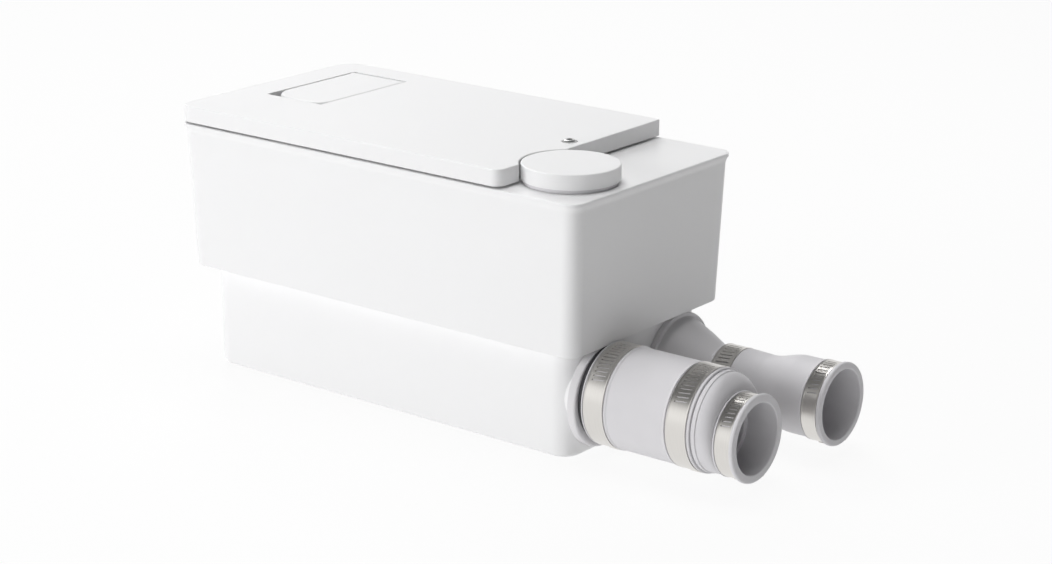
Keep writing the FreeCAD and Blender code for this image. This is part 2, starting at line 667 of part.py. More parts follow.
def make_deck_plate():
    """The plate that closes the tank and carries the motor."""
    plate = centred_plate(RIM_LENGTH, RIM_WIDTH, DECK_BOTTOM, DECK_TOP, TANK_CORNER)
    holes = [rod(x, y, DECK_BOTTOM, DECK_SCREW_RADIUS, DECK_THICKNESS) for x, y in boss_places()]
    holes.append(rod(FILTER_X, FILTER_Y, DECK_BOTTOM, VENT_RADIUS, DECK_THICKNESS))
    holes.append(rod(PUMP_X, PUMP_Y, DECK_BOTTOM, COLUMN_BORE, DECK_THICKNESS))
    holes.append(rod(BELL_X, BELL_Y, DECK_BOTTOM, BELL_PORT_RADIUS, DECK_THICKNESS))
    return plate.cut(holes)


def make_deck_screws():
    """Pan-head screws through the deck and the gasket into the tank's bosses."""
    screws = []
    radius = DECK_SCREW_HEAD_RADIUS
    head_top = DECK_TOP + DECK_SCREW_HEAD_HEIGHT
    slot_bottom = DECK_TOP + DECK_SCREW_HEAD_HEIGHT / 2
    for x, y in boss_places():
        shank = rod(x, y, DECK_TOP - DECK_SCREW_LENGTH, DECK_SCREW_RADIUS, DECK_SCREW_LENGTH)
        head = rod(x, y, DECK_TOP, radius, DECK_SCREW_HEAD_HEIGHT)
        slot = block(x - radius, x + radius, y - WORM_SLOT / 2, y + WORM_SLOT / 2, slot_bottom, head_top)
        screws.append(fused([shank, head]).cut(slot))
    return Part.makeCompound(screws)


def hood_wire(inset, z, corner=HOOD_CORNER):
    """The hood's outline at one height, drawn in from its largest size."""
    x = HALF_LENGTH - inset
    y = HALF_WIDTH - inset
    return rounded_wire(-x, x, -y, y, z, (corner,) * 4)


def make_hood():
    """The hood: leaning walls under a flared rim band, and a top with the service opening."""
    band_bottom = HOOD_TOP - RIM_BAND
    wires = [hood_wire(HOOD_INSET, HOOD_BOTTOM)]
    wires += [hood_wire(RIM_FLARE * flare, band_bottom + RIM_BAND * rise) for rise, flare in RIM_COVE]
    wires.append(hood_wire(0, HOOD_TOP))
    body = Part.makeLoft(wires, True, True)
    rims = edges_at_height(body, HOOD_TOP) + edges_at_height(body, HOOD_BOTTOM)
    body = body.makeFillet(HOOD_EDGE_ROUND, rims)
    lower = centred_plate(CAVITY_LENGTH, CAVITY_WIDTH, HOOD_BOTTOM - HOOD_WALL, DECK_TOP, TANK_CORNER)
    upper = Part.makeLoft([hood_wire(HOOD_INSET + HOOD_WALL + SHOULDER, DECK_TOP),
                           hood_wire(RIM_FLARE + HOOD_WALL + SHOULDER, HOOD_PLATE)], True, True)
    frame = rounded_plate(OPENING_LEFT - FRAME_WALL, OPENING_RIGHT + FRAME_WALL,
                          -OPENING_HALF_WIDTH - FRAME_WALL, OPENING_HALF_WIDTH + FRAME_WALL,
                          HOOD_TOP - FRAME_DEPTH, HOOD_PLATE, (OPENING_CORNER + FRAME_WALL,) * 4)
    boss_radius = INSERT_RADIUS + SCREW_BOSS_WALL
    boss = rod(LID_SCREW_X, LID_SCREW_Y, HOOD_TOP - INSERT_LENGTH, boss_radius, INSERT_LENGTH - HOOD_WALL)
    shell = fused([body.cut([lower, upper]), frame, boss] + snap_hooks())
    return shell.cut(hood_openings()).removeSplitter()


def snap_hooks():
    """Wedge-shaped hooks inside the skirt that catch under the tank's rim."""
    hooks = []
    top = TANK_TOP - RIM_THICKNESS - BODY_GAP
    bottom = top - SNAP_HEIGHT
    for side in (-1, 1):
        wall = side * CAVITY_WIDTH / 2
        root = wall + side * HOOD_WALL / 2
        nose = wall - side * SNAP_DEPTH
        profile = ((root, top), (nose, top), (wall, bottom), (root, bottom))
        for share in SNAP_SHARES:
            start = share * HOOD_LENGTH - SNAP_LENGTH / 2
            points = [FreeCAD.Vector(start, y, z) for y, z in profile]
            face = Part.Face(Part.Wire(polyline(points)))
            hooks.append(face.extrude(FreeCAD.Vector(SNAP_LENGTH, 0, 0)))
    return hooks


def hood_openings():
    """Everything cut through the hood's top and its back wall."""
    drop_in = rounded_plate(OPENING_LEFT, OPENING_RIGHT, -OPENING_HALF_WIDTH, OPENING_HALF_WIDTH,
                            LEDGE_Z, HOOD_TOP, (OPENING_CORNER,) * 4)
    through = rounded_plate(OPENING_LEFT + OPENING_LEDGE, OPENING_RIGHT - OPENING_LEDGE,
                            -OPENING_HALF_WIDTH + OPENING_LEDGE, OPENING_HALF_WIDTH - OPENING_LEDGE,
                            HOOD_TOP - FRAME_DEPTH, LEDGE_Z, (OPENING_CORNER - OPENING_LEDGE,) * 4)
    lip_seat = rod(FILTER_X, FILTER_Y, HOOD_TOP - BASKET_LIP_HEIGHT, BASKET_RADIUS + BASKET_LIP + BODY_GAP,
                   BASKET_LIP_HEIGHT)
    neck = rod(FILTER_X, FILTER_Y, HOOD_PLATE, BASKET_RADIUS + BODY_GAP, HOOD_WALL)
    insert_seat = rod(LID_SCREW_X, LID_SCREW_Y, HOOD_TOP - INSERT_LENGTH, INSERT_RADIUS, INSERT_LENGTH)
    through_wall = 2 * (HOOD_INSET + HOOD_WALL)
    grommet_seat = rod(GROMMET_X, HALF_WIDTH, GROMMET_Z, GROMMET_NECK, through_wall, -Y_AXIS)
    return [drop_in, through, lip_seat, neck, insert_seat, grommet_seat]


def hood_wall_y(z):
    """Where the outer face of the hood's back wall lies at one height below the rim band."""
    rise = (z - HOOD_BOTTOM) / (HOOD_TOP - RIM_BAND - HOOD_BOTTOM)
    return HALF_WIDTH - HOOD_INSET + HOOD_SETBACK * rise


def make_grommet():
    """The blank rubber grommet of the cable entry, low on the back wall."""
    outside = hood_wall_y(GROMMET_Z + GROMMET_RADIUS)
    flange = rod(GROMMET_X, outside + GROMMET_FLANGE, GROMMET_Z, GROMMET_RADIUS, GROMMET_FLANGE, -Y_AXIS)
    neck = rod(GROMMET_X, outside, GROMMET_Z, GROMMET_NECK, HOOD_WALL, -Y_AXIS)
    return fused([flange, neck])


def make_lid_seal():
    """The soft seal on the ledge of the service opening."""
    return ring_plate(OPENING_LEFT, OPENING_RIGHT, -OPENING_HALF_WIDTH, OPENING_HALF_WIDTH,
                      LEDGE_Z, LEDGE_Z + LID_SEAL_HEIGHT, OPENING_CORNER, LID_SEAL_WIDTH)


def make_lid_insert():
    """The threaded brass insert that the lid screw enters."""
    return tube(LID_SCREW_X, LID_SCREW_Y, HOOD_TOP - INSERT_LENGTH, INSERT_RADIUS,
                LID_SCREW_RADIUS + RUNNING_GAP, INSERT_LENGTH)


def lid_plate(inset, z0, z1):
    """The lid's outline drawn in by an inset, with the hollow for the filter cap."""
    x = HALF_LENGTH - inset
    y = HALF_WIDTH - inset
    radii = [max(radius - inset, SMALLEST_CORNER) for radius in LID_CORNERS]
    plate = rounded_plate(-x, LID_RIGHT - inset, -y, y, z0, z1, radii)
    return plate.cut(rod(FILTER_X, FILTER_Y, z0, CAP_RADIUS + CAP_CLEARANCE + inset, z1 - z0))


def recess_block(margin, z0, z1):
    """The finger recess, grown by a margin."""
    return block(RECESS_LEFT - margin, RECESS_RIGHT + margin,
                 RECESS_FRONT - margin, RECESS_BACK + margin, z0, z1)


def make_service_lid():
    """The lid: a skin with a skirt, a rim that drops into the hood, the recess and the screw's boss."""
    solid = lid_plate(0, LID_BOTTOM, LID_TOP)
    solid = solid.makeFillet(LID_EDGE_ROUND, edges_at_height(solid, LID_TOP))
    shell = solid.cut(lid_plate(LID_WALL, LID_BOTTOM, LID_TOP - LID_SKIN))
    rim = ring_plate(OPENING_LEFT + HOOD_FIT, OPENING_RIGHT - HOOD_FIT,
                     -OPENING_HALF_WIDTH + HOOD_FIT, OPENING_HALF_WIDTH - HOOD_FIT,
                     LID_RIM_BOTTOM, LID_TOP - LID_SKIN, OPENING_CORNER - HOOD_FIT, LID_RIM_WALL)
    bowl = recess_block(RECESS_WALL, RECESS_FLOOR - RECESS_WALL, LID_TOP - LID_SKIN)
    boss_radius = LID_SCREW_HEAD_RADIUS + LID_SCREW_RECESS + SCREW_BOSS_WALL
    boss_bottom = LID_BOTTOM + SCREW_BOSS_LIFT
    boss = rod(LID_SCREW_X, LID_SCREW_Y, boss_bottom, boss_radius, LID_TOP - LID_SKIN - boss_bottom)
    cuts = [recess_block(0, RECESS_FLOOR, LID_TOP), flap_pin_rod()]
    seat = LID_TOP + LID_SCREW_PROUD - LID_SCREW_HEAD_HEIGHT - BODY_GAP
    cuts.append(rod(LID_SCREW_X, LID_SCREW_Y, seat, LID_SCREW_HEAD_RADIUS + LID_SCREW_RECESS, LID_TOP - seat))
    cuts.append(rod(LID_SCREW_X, LID_SCREW_Y, LID_BOTTOM, LID_SCREW_RADIUS + RUNNING_GAP, LID_THICKNESS))
    return fused([shell, rim, bowl, boss]).cut(cuts).removeSplitter()


def flap_pin_rod():
    """The hinge pin of the flap, seated in both side walls of the recess."""
    x = RECESS_LEFT - FLAP_PIN_SEAT
    return rod(x, FLAP_PIVOT_Y, FLAP_PIVOT_Z, FLAP_PIN_RADIUS, RECESS_RIGHT + FLAP_PIN_SEAT - x, X_AXIS)


def make_lid_flap():
    """The flap over the finger recess: one front corner is rounded off so that a fingertip gets under it."""
    left = RECESS_LEFT + FLAP_GAP
    right = RECESS_RIGHT - FLAP_GAP
    front = RECESS_FRONT + FLAP_GAP
    corner = FLAP_BARREL
    radii = (FLAP_FRONT_LEFT_ROUND, FLAP_FRONT_RIGHT_ROUND, corner, corner)
    plate = rounded_plate(left, right, front, FLAP_PIVOT_Y + corner, LID_TOP - FLAP_THICKNESS, LID_TOP, radii)
    plate = plate.makeFillet(FLAP_EDGE_ROUND, edges_at_height(plate, LID_TOP))
    behind = block(left, right, FLAP_PIVOT_Y, FLAP_PIVOT_Y + 2 * corner, LID_TOP - FLAP_THICKNESS, LID_TOP)
    barrel = rod(left, FLAP_PIVOT_Y, FLAP_PIVOT_Z, FLAP_BARREL, right - left, X_AXIS)
    bore = rod(left, FLAP_PIVOT_Y, FLAP_PIVOT_Z, FLAP_PIN_RADIUS + RUNNING_GAP, right - left, X_AXIS)
    return fused([plate.cut(behind), barrel]).cut(bore)


def make_lid_screw():
    """The captive screw with its hexagon socket."""
    head_top = LID_TOP + LID_SCREW_PROUD
    head_bottom = head_top - LID_SCREW_HEAD_HEIGHT
    head = rod(LID_SCREW_X, LID_SCREW_Y, head_bottom, LID_SCREW_HEAD_RADIUS, LID_SCREW_HEAD_HEIGHT)
    head = head.makeChamfer(LID_SCREW_PROUD, edges_at_height(head, head_top))
    shank_bottom = LID_BOTTOM - LID_SCREW_REACH
    shank = rod(LID_SCREW_X, LID_SCREW_Y, shank_bottom, LID_SCREW_RADIUS, head_bottom - shank_bottom)
    socket = hexagon(LID_SCREW_X, LID_SCREW_Y, head_top - LID_SCREW_HEAD_HEIGHT / 2, 2 * LID_SCREW_SOCKET,
                     LID_SCREW_HEAD_HEIGHT / 2)
    return fused([head, shank]).cut(socket)


def hexagon(x, y, z, flats, height):
    """A hexagonal prism of one size across its flats."""
    radius = flats / math.sqrt(3)
    angles = [math.radians(60 * corner) for corner in range(6)]
    points = [FreeCAD.Vector(x + radius * math.cos(a), y + radius * math.sin(a), z) for a in angles]
    return Part.Face(Part.Wire(polyline(points))).extrude(FreeCAD.Vector(0, 0, height))


def make_screw_retainer():
    """The washer under the lid's boss that keeps the screw in the lid."""
    z = LID_BOTTOM + SCREW_BOSS_LIFT - BODY_GAP - RETAINER_THICKNESS
    return tube(LID_SCREW_X, LID_SCREW_Y, z, RETAINER_RADIUS, LID_SCREW_RADIUS, RETAINER_THICKNESS)


def make_filter_cap():
    """The round cap with the spigot that centres it in the basket."""
    spigot = BASKET_RADIUS - BASKET_WALL - BODY_GAP
    body = rod(FILTER_X, FILTER_Y, CAP_BOTTOM, CAP_RADIUS, CAP_HEIGHT)
    body = body.makeFillet(CAP_ROUND, edges_at_height(body, LID_TOP))
    plug = rod(FILTER_X, FILTER_Y, CAP_BOTTOM - CAP_SPIGOT_DEPTH, spigot, CAP_SPIGOT_DEPTH)
    hollow = rod(FILTER_X, FILTER_Y, CAP_BOTTOM - CAP_SPIGOT_DEPTH, spigot - BASKET_WALL,
                 CAP_SPIGOT_DEPTH + CAP_HEIGHT / 2)
    return fused([body, plug]).cut(hollow)


def make_neck_gasket():
    """The dark ring between the hood and the cap."""
    height = CAP_BOTTOM - BODY_GAP - HOOD_TOP
    return tube(FILTER_X, FILTER_Y, HOOD_TOP, NECK_RADIUS, BASKET_RADIUS + BASKET_LIP + BODY_GAP, height)


def make_filter_basket():
    """The slotted cup that holds the carbon and lifts out with the cap."""
    inner = BASKET_RADIUS - BASKET_WALL
    stations = ((0, BASKET_BOTTOM), (BASKET_RADIUS, BASKET_BOTTOM), (BASKET_RADIUS, BASKET_LIP_BOTTOM),
                (BASKET_RADIUS + BASKET_LIP, BASKET_LIP_BOTTOM), (BASKET_RADIUS + BASKET_LIP, BASKET_TOP),
                (inner, BASKET_TOP), (inner, BASKET_BOTTOM + BASKET_WALL), (0, BASKET_BOTTOM + BASKET_WALL))
    cup = turned_on_z(stations, FILTER_X, FILTER_Y)
    first, last = BASKET_SLOT_SHARES
    slot = block(FILTER_X + inner * first, FILTER_X + inner * last,
                 FILTER_Y - BASKET_WALL, FILTER_Y + BASKET_WALL, BASKET_BOTTOM, BASKET_BOTTOM + BASKET_WALL)
    return cup.cut(around_z(slot, FILTER_X, FILTER_Y, BASKET_SLOTS))


def make_carbon_filter():
    """The carbon cartridge in the basket."""
    bottom = BASKET_BOTTOM + BASKET_WALL
    return rod(FILTER_X, FILTER_Y, bottom, BASKET_RADIUS - BASKET_WALL, CARBON_HEIGHT - BASKET_WALL)


def make_filter_housing():
    """The upright tube that leads the tank's vent to the filter."""
    inner = BASKET_RADIUS + HOUSING_GAP
    return tube(FILTER_X, FILTER_Y, DECK_TOP, inner + HOUSING_WALL, inner, HOOD_PLATE - DECK_TOP)


def make_inlet_collar():
    """The loose collar on the inlet spigot, against the tank's end wall."""
    body = rod(TANK_END, INLET_Y, INLET_Z - COLLAR_DROP, COLLAR_RADIUS, COLLAR_THICKNESS, X_AXIS)
    outer_end = TANK_END + COLLAR_THICKNESS
    outer_edges = [e for e in body.Edges if abs(e.BoundBox.XMin - outer_end) < PICK_TOLERANCE]
    body = body.makeFillet(COLLAR_ROUND, outer_edges)
    return body.cut(rod(TANK_END, INLET_Y, INLET_Z, SPIGOT_RADIUS, COLLAR_THICKNESS, X_AXIS))


def band_seat(middle, width, outer, lip):
    """Stations of a shallow seat for a clamp band between two low ridges."""
    seat = outer - BAND_SEAT_SINK
    ridge = outer + lip
    left = middle - width / 2 - 2 * BAND_ROOM
    right = middle + width / 2 + 2 * BAND_ROOM
    return [(left - 2 * RIDGE_WIDTH, outer), (left - RIDGE_WIDTH, ridge), (left, ridge), (left, seat),
            (right, seat), (right, ridge), (right + RIDGE_WIDTH, ridge), (right + 2 * RIDGE_WIDTH, outer)]


def make_inlet_sleeve():
    """The straight rubber sleeve from the tank's spigot to the reducer, with a seat for each clamp."""
    outer = SPIGOT_RADIUS + INLET_SLEEVE_WALL
    low_lip = SLEEVE_LIP / 2
    stations = [(INLET_SLEEVE_START, SPIGOT_RADIUS), (INLET_SLEEVE_START, outer + low_lip)]
    stations += band_seat(CLAMP_AT_TANK, CLAMP_WIDTH, outer, low_lip)[2:]
    stations += band_seat(CLAMP_AT_REDUCER, CLAMP_WIDTH, outer, low_lip)[:-1]
    stations += [(INLET_SLEEVE_END, outer), (INLET_SLEEVE_END, SPIGOT_RADIUS)]
    return turned_on_x(stations, INLET_Y, INLET_Z)


def make_inlet_reducer():
    """The eccentric reducer: its spigot sits in the sleeve and its socket takes the waste pipe."""
    large = SPIGOT_RADIUS + REDUCER_BEAD_RISE
    bead_end = INLET_SLEEVE_END + REDUCER_BEAD
    socket_start = bead_end + REDUCER_SHOULDER
    plug = rod(REDUCER_START, INLET_Y, INLET_Z, SPIGOT_RADIUS, INLET_SLEEVE_END - REDUCER_START, X_AXIS)
    bead = rod(INLET_SLEEVE_END, INLET_Y, INLET_Z, large, REDUCER_BEAD, X_AXIS)
    bead = bead.makeFillet(REDUCER_BEAD / 3, [e for e in bead.Edges if e.BoundBox.XLength < PICK_TOLERANCE])
    shoulder = shoulder_loft(bead_end, socket_start, large - REDUCER_BEAD_STEP)
    socket = turned_on_x(reducer_socket_stations(socket_start), INLET_Y, INLET_END_Z)
    body = fused([plug, bead, shoulder, socket])
    passage_start = REDUCER_END - INLET_SOCKET
    cuts = [rod(REDUCER_START, INLET_Y, INLET_Z, SPIGOT_BORE, bead_end - REDUCER_START, X_AXIS),
            rod(INLET_SLEEVE_END, INLET_Y, INLET_END_Z, REDUCER_PASSAGE,
                passage_start - INLET_SLEEVE_END, X_AXIS),
            rod(passage_start, INLET_Y, INLET_END_Z, INLET_BORE, INLET_SOCKET, X_AXIS)]
    return body.cut(cuts).removeSplitter()


def shoulder_loft(x0, x1, large):
    """The domed shoulder between two round ends on different axes, along a quarter of an ellipse."""
    wires = []
    for index in range(SHOULDER_STEPS + 1):
        turn = math.radians(90 * index / SHOULDER_STEPS)
        share = 1 - math.cos(turn)
        radius = large + (REDUCER_RADIUS - large) * share
        z = INLET_Z + (INLET_END_Z - INLET_Z) * share
        centre = FreeCAD.Vector(x0 + (x1 - x0) * math.sin(turn), INLET_Y, z)
        wires.append(Part.Wire(Part.makeCircle(radius, centre, X_AXIS)))
    return Part.makeLoft(wires, True, True)


def end_lip(start, end, radius):
    """Stations of a thick lip at the end of a sleeve, its outer corner rounded."""
    corner = [(end - back, radius - drop) for back, drop in LIP_ROUND]
    return [(start, radius - LIP_LEAD), (start + LIP_LEAD, radius)] + corner


def reducer_socket_stations(start):
    """Outline of the reducer's small end: a ridge, the band's seat and the end lip."""
    lip_start = REDUCER_END - END_LIP
    ridge = REDUCER_RADIUS + SLEEVE_LIP
    ridge_end = start + RIDGE_RAMP + RIDGE_WIDTH
    seat = REDUCER_RADIUS - BAND_SEAT_SINK
    stations = [(start, 0), (start, REDUCER_RADIUS), (start + RIDGE_RAMP, ridge), (ridge_end, ridge)]
    stations += [(ridge_end, seat), (lip_start, seat)]
    return stations + end_lip(lip_start, REDUCER_END, REDUCER_LIP_RADIUS) + [(REDUCER_END, 0)]


def make_discharge_nipple():
    """The conical nipple on the tank's end wall, down to the spigot of the pressure line."""
    flange_end = TANK_END + NIPPLE_FLANGE_THICKNESS
    cone_end = flange_end + NIPPLE_CONE_LENGTH
    middle = (flange_end + cone_end) / 2
    stub = stub_radius()
    stub_end = TANK_END + VALVE_STUB_SEAT
    stations = [(TANK_END, stub), (TANK_END, NIPPLE_FLANGE_RADIUS),
                (flange_end - NIPPLE_FLANGE_CHAMFER, NIPPLE_FLANGE_RADIUS),
                (flange_end, NIPPLE_FLANGE_RADIUS - NIPPLE_FLANGE_CHAMFER),
                (flange_end, NIPPLE_ROOT_RADIUS), (middle, NIPPLE_MIDDLE_RADIUS),
                (cone_end, NIPPLE_SPIGOT_RADIUS), (NIPPLE_END, NIPPLE_SPIGOT_RADIUS),
                (NIPPLE_END, NIPPLE_BORE), (stub_end, NIPPLE_BORE), (stub_end, stub)]
    return turned_on_x(stations, DISCHARGE_Y, DISCHARGE_Z)


def make_discharge_sleeve():
    """The rubber sleeve of the pressure line: a narrow neck on the nipple that swells to the pipe socket."""
    y, z = DISCHARGE_Y, DISCHARGE_Z
    small, large = OUTLET_SMALL_RADIUS, OUTLET_LARGE_RADIUS
    socket_start = OUTLET_SLEEVE_END - DISCHARGE_SOCKET
    lip_start = OUTLET_SLEEVE_END - END_LIP
    near = [(NIPPLE_END, OUTLET_PASSAGE), (NIPPLE_END, NIPPLE_SPIGOT_RADIUS),
            (OUTLET_SLEEVE_START, NIPPLE_SPIGOT_RADIUS), (OUTLET_SLEEVE_START, small)]
    seat = small - BAND_SEAT_SINK
    seat_start = OUTLET_SLEEVE_START + LIP_LEAD
    seat_end = CLAMP_AT_NIPPLE + CLAMP_WIDTH / 2 + BAND_ROOM
    near += [(seat_start, small), (seat_start, seat), (seat_end, seat),
             (seat_end, small + SLEEVE_LIP / 4), (OUTLET_SWELL_START, small - SLEEVE_LIP / 4)]
    ridge = large + SLEEVE_LIP
    ridge_end = CLAMP_AT_OUTLET_END - NARROW_CLAMP_WIDTH / 2 - BAND_ROOM
    ridge_start = ridge_end - RIDGE_WIDTH
    far = [(OUTLET_SWELL_END, large), (ridge_start - RIDGE_RAMP, large), (ridge_start, ridge),
           (ridge_end, ridge), (ridge_end, large), (lip_start, large)]
    far += end_lip(lip_start, OUTLET_SLEEVE_END, OUTLET_LIP_RADIUS)
    far += [(OUTLET_SLEEVE_END, DISCHARGE_BORE), (socket_start, DISCHARGE_BORE),
            (socket_start - SOCKET_TAPER, OUTLET_PASSAGE)]
    points = [FreeCAD.Vector(x, y, z + radius) for x, radius in near]
    swell = swell_arcs(points[-1], FreeCAD.Vector(OUTLET_SWELL_END, y, z + large))
    edges = [Part.makeLine(a, b) for a, b in zip(points, points[1:])] + swell
    rest = [FreeCAD.Vector(x, y, z + radius) for x, radius in far] + [points[0]]
    edges += [Part.makeLine(a, b) for a, b in zip(rest, rest[1:])]
    return turned(edges, 0, y, z, X_AXIS)


def swell_arcs(start, end):
    """An S of two equal arcs in the XZ plane that leaves start and meets end along X."""
    run = (end.x - start.x) / 2
    rise = (end.z - start.z) / 2
    radius = (run * run + rise * rise) / (2 * rise)
    half = math.asin(run / radius) / 2
    reach = radius * math.sin(half)
    lift = radius * (1 - math.cos(half))
    middle = (start + end) / 2
    first = Part.Arc(start, start + FreeCAD.Vector(reach, 0, lift), middle).toShape()
    second = Part.Arc(middle, end - FreeCAD.Vector(reach, 0, lift), end).toShape()
    return [first, second]


def make_clamp_band(middle, width, y, z, radius):
    """A slotted clamp band with the housing of its worm low on the far side."""
    outer = radius + CLAMP_THICKNESS
    x0 = middle - width / 2
    strap = tube(x0, y, z, outer, radius, width, X_AXIS)
    slot_length = width * SLOT_SHARE
    slot = block(middle - slot_length / 2, middle + slot_length / 2, y + radius - CLAMP_THICKNESS,
                 y + outer + CLAMP_THICKNESS, z - SLOT_WIDTH / 2, z + SLOT_WIDTH / 2)
    slot.rotate(FreeCAD.Vector(middle, y, z), Y_AXIS, SLOT_SLANT)
    step = math.degrees(SLOT_PITCH / radius)
    slots = []
    for index in range(int((SLOT_LAST_ANGLE - SLOT_FIRST_ANGLE) / step) + 1):
        copy = slot.copy()
        copy.rotate(FreeCAD.Vector(middle, y, z), X_AXIS, SLOT_FIRST_ANGLE + index * step)
        slots.append(copy)
    worm_y = y + worm_offset(radius)
    low = z - WORM_HOUSING_LENGTH / 2
    shell_top = rod(middle, worm_y, low, WORM_RADIUS + WORM_HOUSING_WALL, WORM_HOUSING_LENGTH)
    saddle = block(x0, x0 + width, y + radius, worm_y, low, low + WORM_HOUSING_LENGTH)
    bore = rod(middle, worm_y, low, WORM_RADIUS + RUNNING_GAP, WORM_HOUSING_LENGTH)
    inside = rod(x0 - width, y, z, radius, 3 * width, X_AXIS)
    housing = fused([saddle.cut(inside), shell_top]).cut(bore)
    housing.rotate(FreeCAD.Vector(middle, y, z), X_AXIS, WORM_ANGLE)
    return fused([strap.cut(slots), housing])


def worm_offset(radius):
    """How far the worm's axis lies from the middle of its band."""
    return radius + CLAMP_THICKNESS + WORM_RADIUS + BODY_GAP


def make_clamp_screw(middle, y, z, radius):
    """The worm of a clamp with its slotted hexagon head."""
    worm_y = y + worm_offset(radius)
    bottom = z - WORM_HOUSING_LENGTH / 2 - WORM_TAIL
    top = z + WORM_HOUSING_LENGTH / 2 + BODY_GAP
    worm = rod(middle, worm_y, bottom, WORM_RADIUS, top - bottom)
    head = hexagon(middle, worm_y, top, WORM_HEAD_FLATS, WORM_HEAD_HEIGHT)
    half_slot = WORM_SLOT / 2
    slot = block(middle - WORM_HEAD_FLATS, middle + WORM_HEAD_FLATS, worm_y - half_slot, worm_y + half_slot,
                 top + WORM_HEAD_HEIGHT / 2, top + WORM_HEAD_HEIGHT)
    screw = fused([worm, head]).cut(slot)
    screw.rotate(FreeCAD.Vector(middle, y, z), X_AXIS, WORM_ANGLE)
    return screw


def clamp_table():
    """Each clamp: name, middle, band width, axis height and place, and the radius of its seat."""
    sleeve = SPIGOT_RADIUS + INLET_SLEEVE_WALL - BAND_SEAT_SINK
    return {
        "clamp_tank": (CLAMP_AT_TANK, CLAMP_WIDTH, INLET_Y, INLET_Z, sleeve),
        "clamp_reducer": (CLAMP_AT_REDUCER, CLAMP_WIDTH, INLET_Y, INLET_Z, sleeve),
        "clamp_inlet_pipe": (CLAMP_AT_INLET_END, NARROW_CLAMP_WIDTH, INLET_Y, INLET_END_Z,
                             REDUCER_RADIUS - BAND_SEAT_SINK),
        "clamp_nipple": (CLAMP_AT_NIPPLE, CLAMP_WIDTH, DISCHARGE_Y, DISCHARGE_Z,
                         OUTLET_SMALL_RADIUS - BAND_SEAT_SINK),
        "clamp_outlet_pipe": (CLAMP_AT_OUTLET_END, NARROW_CLAMP_WIDTH, DISCHARGE_Y, DISCHARGE_Z,
                              OUTLET_LARGE_RADIUS),
    }


def spiral_face(radius, z):
    """The pump chamber's outline: four quarter arcs whose centres step round a small square."""
    h = SPIRAL_STEP / 2
    centres = ((h, -h, 0), (-h, -h, 270), (-h, h, 180), (h, h, 90))
    arcs = []
    for index, (cx, cy, start) in enumerate(centres):
        centre = FreeCAD.Vector(PUMP_X + cx, PUMP_Y + cy, z)
        circle = Part.Circle(centre, Z_AXIS, radius + index * SPIRAL_STEP)
        arcs.append(Part.Arc(circle, math.radians(start), math.radians(start + 90)).toShape())
    first = FreeCAD.Vector(PUMP_X + h, PUMP_Y - h + radius, z)
    last = FreeCAD.Vector(PUMP_X + h, PUMP_Y + h + radius + 3 * SPIRAL_STEP, z)
    return Part.Face(Part.Wire(arcs + [Part.makeLine(last, first)]))


def spiral(radius, z0, z1):
    """The spiral outline extruded between two heights."""
    return spiral_face(radius, z0).extrude(FreeCAD.Vector(0, 0, z1 - z0))


def stub_radius():
    """Outer radius of the pump's outlet, the pipe and the valve's stubs."""
    return OUTLET_RADIUS + CASING_WALL


def make_pump_casing():
    """The spiral casing with its tangential outlet, open at the top and with the intake eye below."""
    start = PUMP_X + SPIRAL_STEP / 2
    length = CASING_OUTLET_END - start
    body = spiral(SPIRAL_RADIUS + CASING_WALL, CASING_BOTTOM, CHAMBER_TOP)
    outlet = rod(start, DISCHARGE_Y, DISCHARGE_Z, stub_radius(), length, X_AXIS)
    cuts = [spiral(SPIRAL_RADIUS, CHAMBER_BOTTOM, CHAMBER_TOP),
            rod(start, DISCHARGE_Y, DISCHARGE_Z, OUTLET_RADIUS, length, X_AXIS),
            rod(PUMP_X, PUMP_Y, CASING_BOTTOM, EYE_RADIUS, CASING_WALL)]
    return fused([body, outlet]).cut(cuts).removeSplitter()


def make_pump_cover():
    """The cover of the spiral with the column that hangs the pump under the deck."""
    plate = spiral(SPIRAL_RADIUS + CASING_WALL, CHAMBER_TOP, COVER_TOP)
    column = rod(PUMP_X, PUMP_Y, COVER_TOP, COLUMN_RADIUS, DECK_BOTTOM - COVER_TOP)
    flange_bottom = DECK_BOTTOM - COLUMN_FLANGE_THICKNESS
    flange = rod(PUMP_X, PUMP_Y, flange_bottom, COLUMN_FLANGE, COLUMN_FLANGE_THICKNESS)
    seat_top = COVER_TOP + SEAL_SEAT_HEIGHT
    start = PUMP_X + SPIRAL_STEP / 2
    cuts = [rod(PUMP_X, PUMP_Y, CHAMBER_TOP, SHAFT_PASS, CASING_WALL),
            rod(PUMP_X, PUMP_Y, COVER_TOP, SEAL_SEAT_RADIUS, SEAL_SEAT_HEIGHT),
            rod(PUMP_X, PUMP_Y, seat_top, COLUMN_BORE, DECK_BOTTOM - seat_top),
            rod(start, DISCHARGE_Y, DISCHARGE_Z, stub_radius(), OUTLET_REACH, X_AXIS)]
    return fused([plate, column, flange]).cut(cuts).removeSplitter()


def make_intake_strainer():
    """The slotted skirt that the casing stands on, which keeps coarse matter from the intake eye."""
    skirt = tube(PUMP_X, PUMP_Y, TANK_FLOOR, STRAINER_RADIUS, STRAINER_RADIUS - STRAINER_WALL,
                 CASING_BOTTOM - TANK_FLOOR)
    reach = STRAINER_RADIUS + STRAINER_WALL
    slot = block(PUMP_X - reach, PUMP_X + reach, PUMP_Y - STRAINER_SLOT / 2, PUMP_Y + STRAINER_SLOT / 2,
                 TANK_FLOOR, CASING_BOTTOM - STRAINER_BAND)
    return skirt.cut(around_z(slot, PUMP_X, PUMP_Y, STRAINER_SLOTS, 180.0))


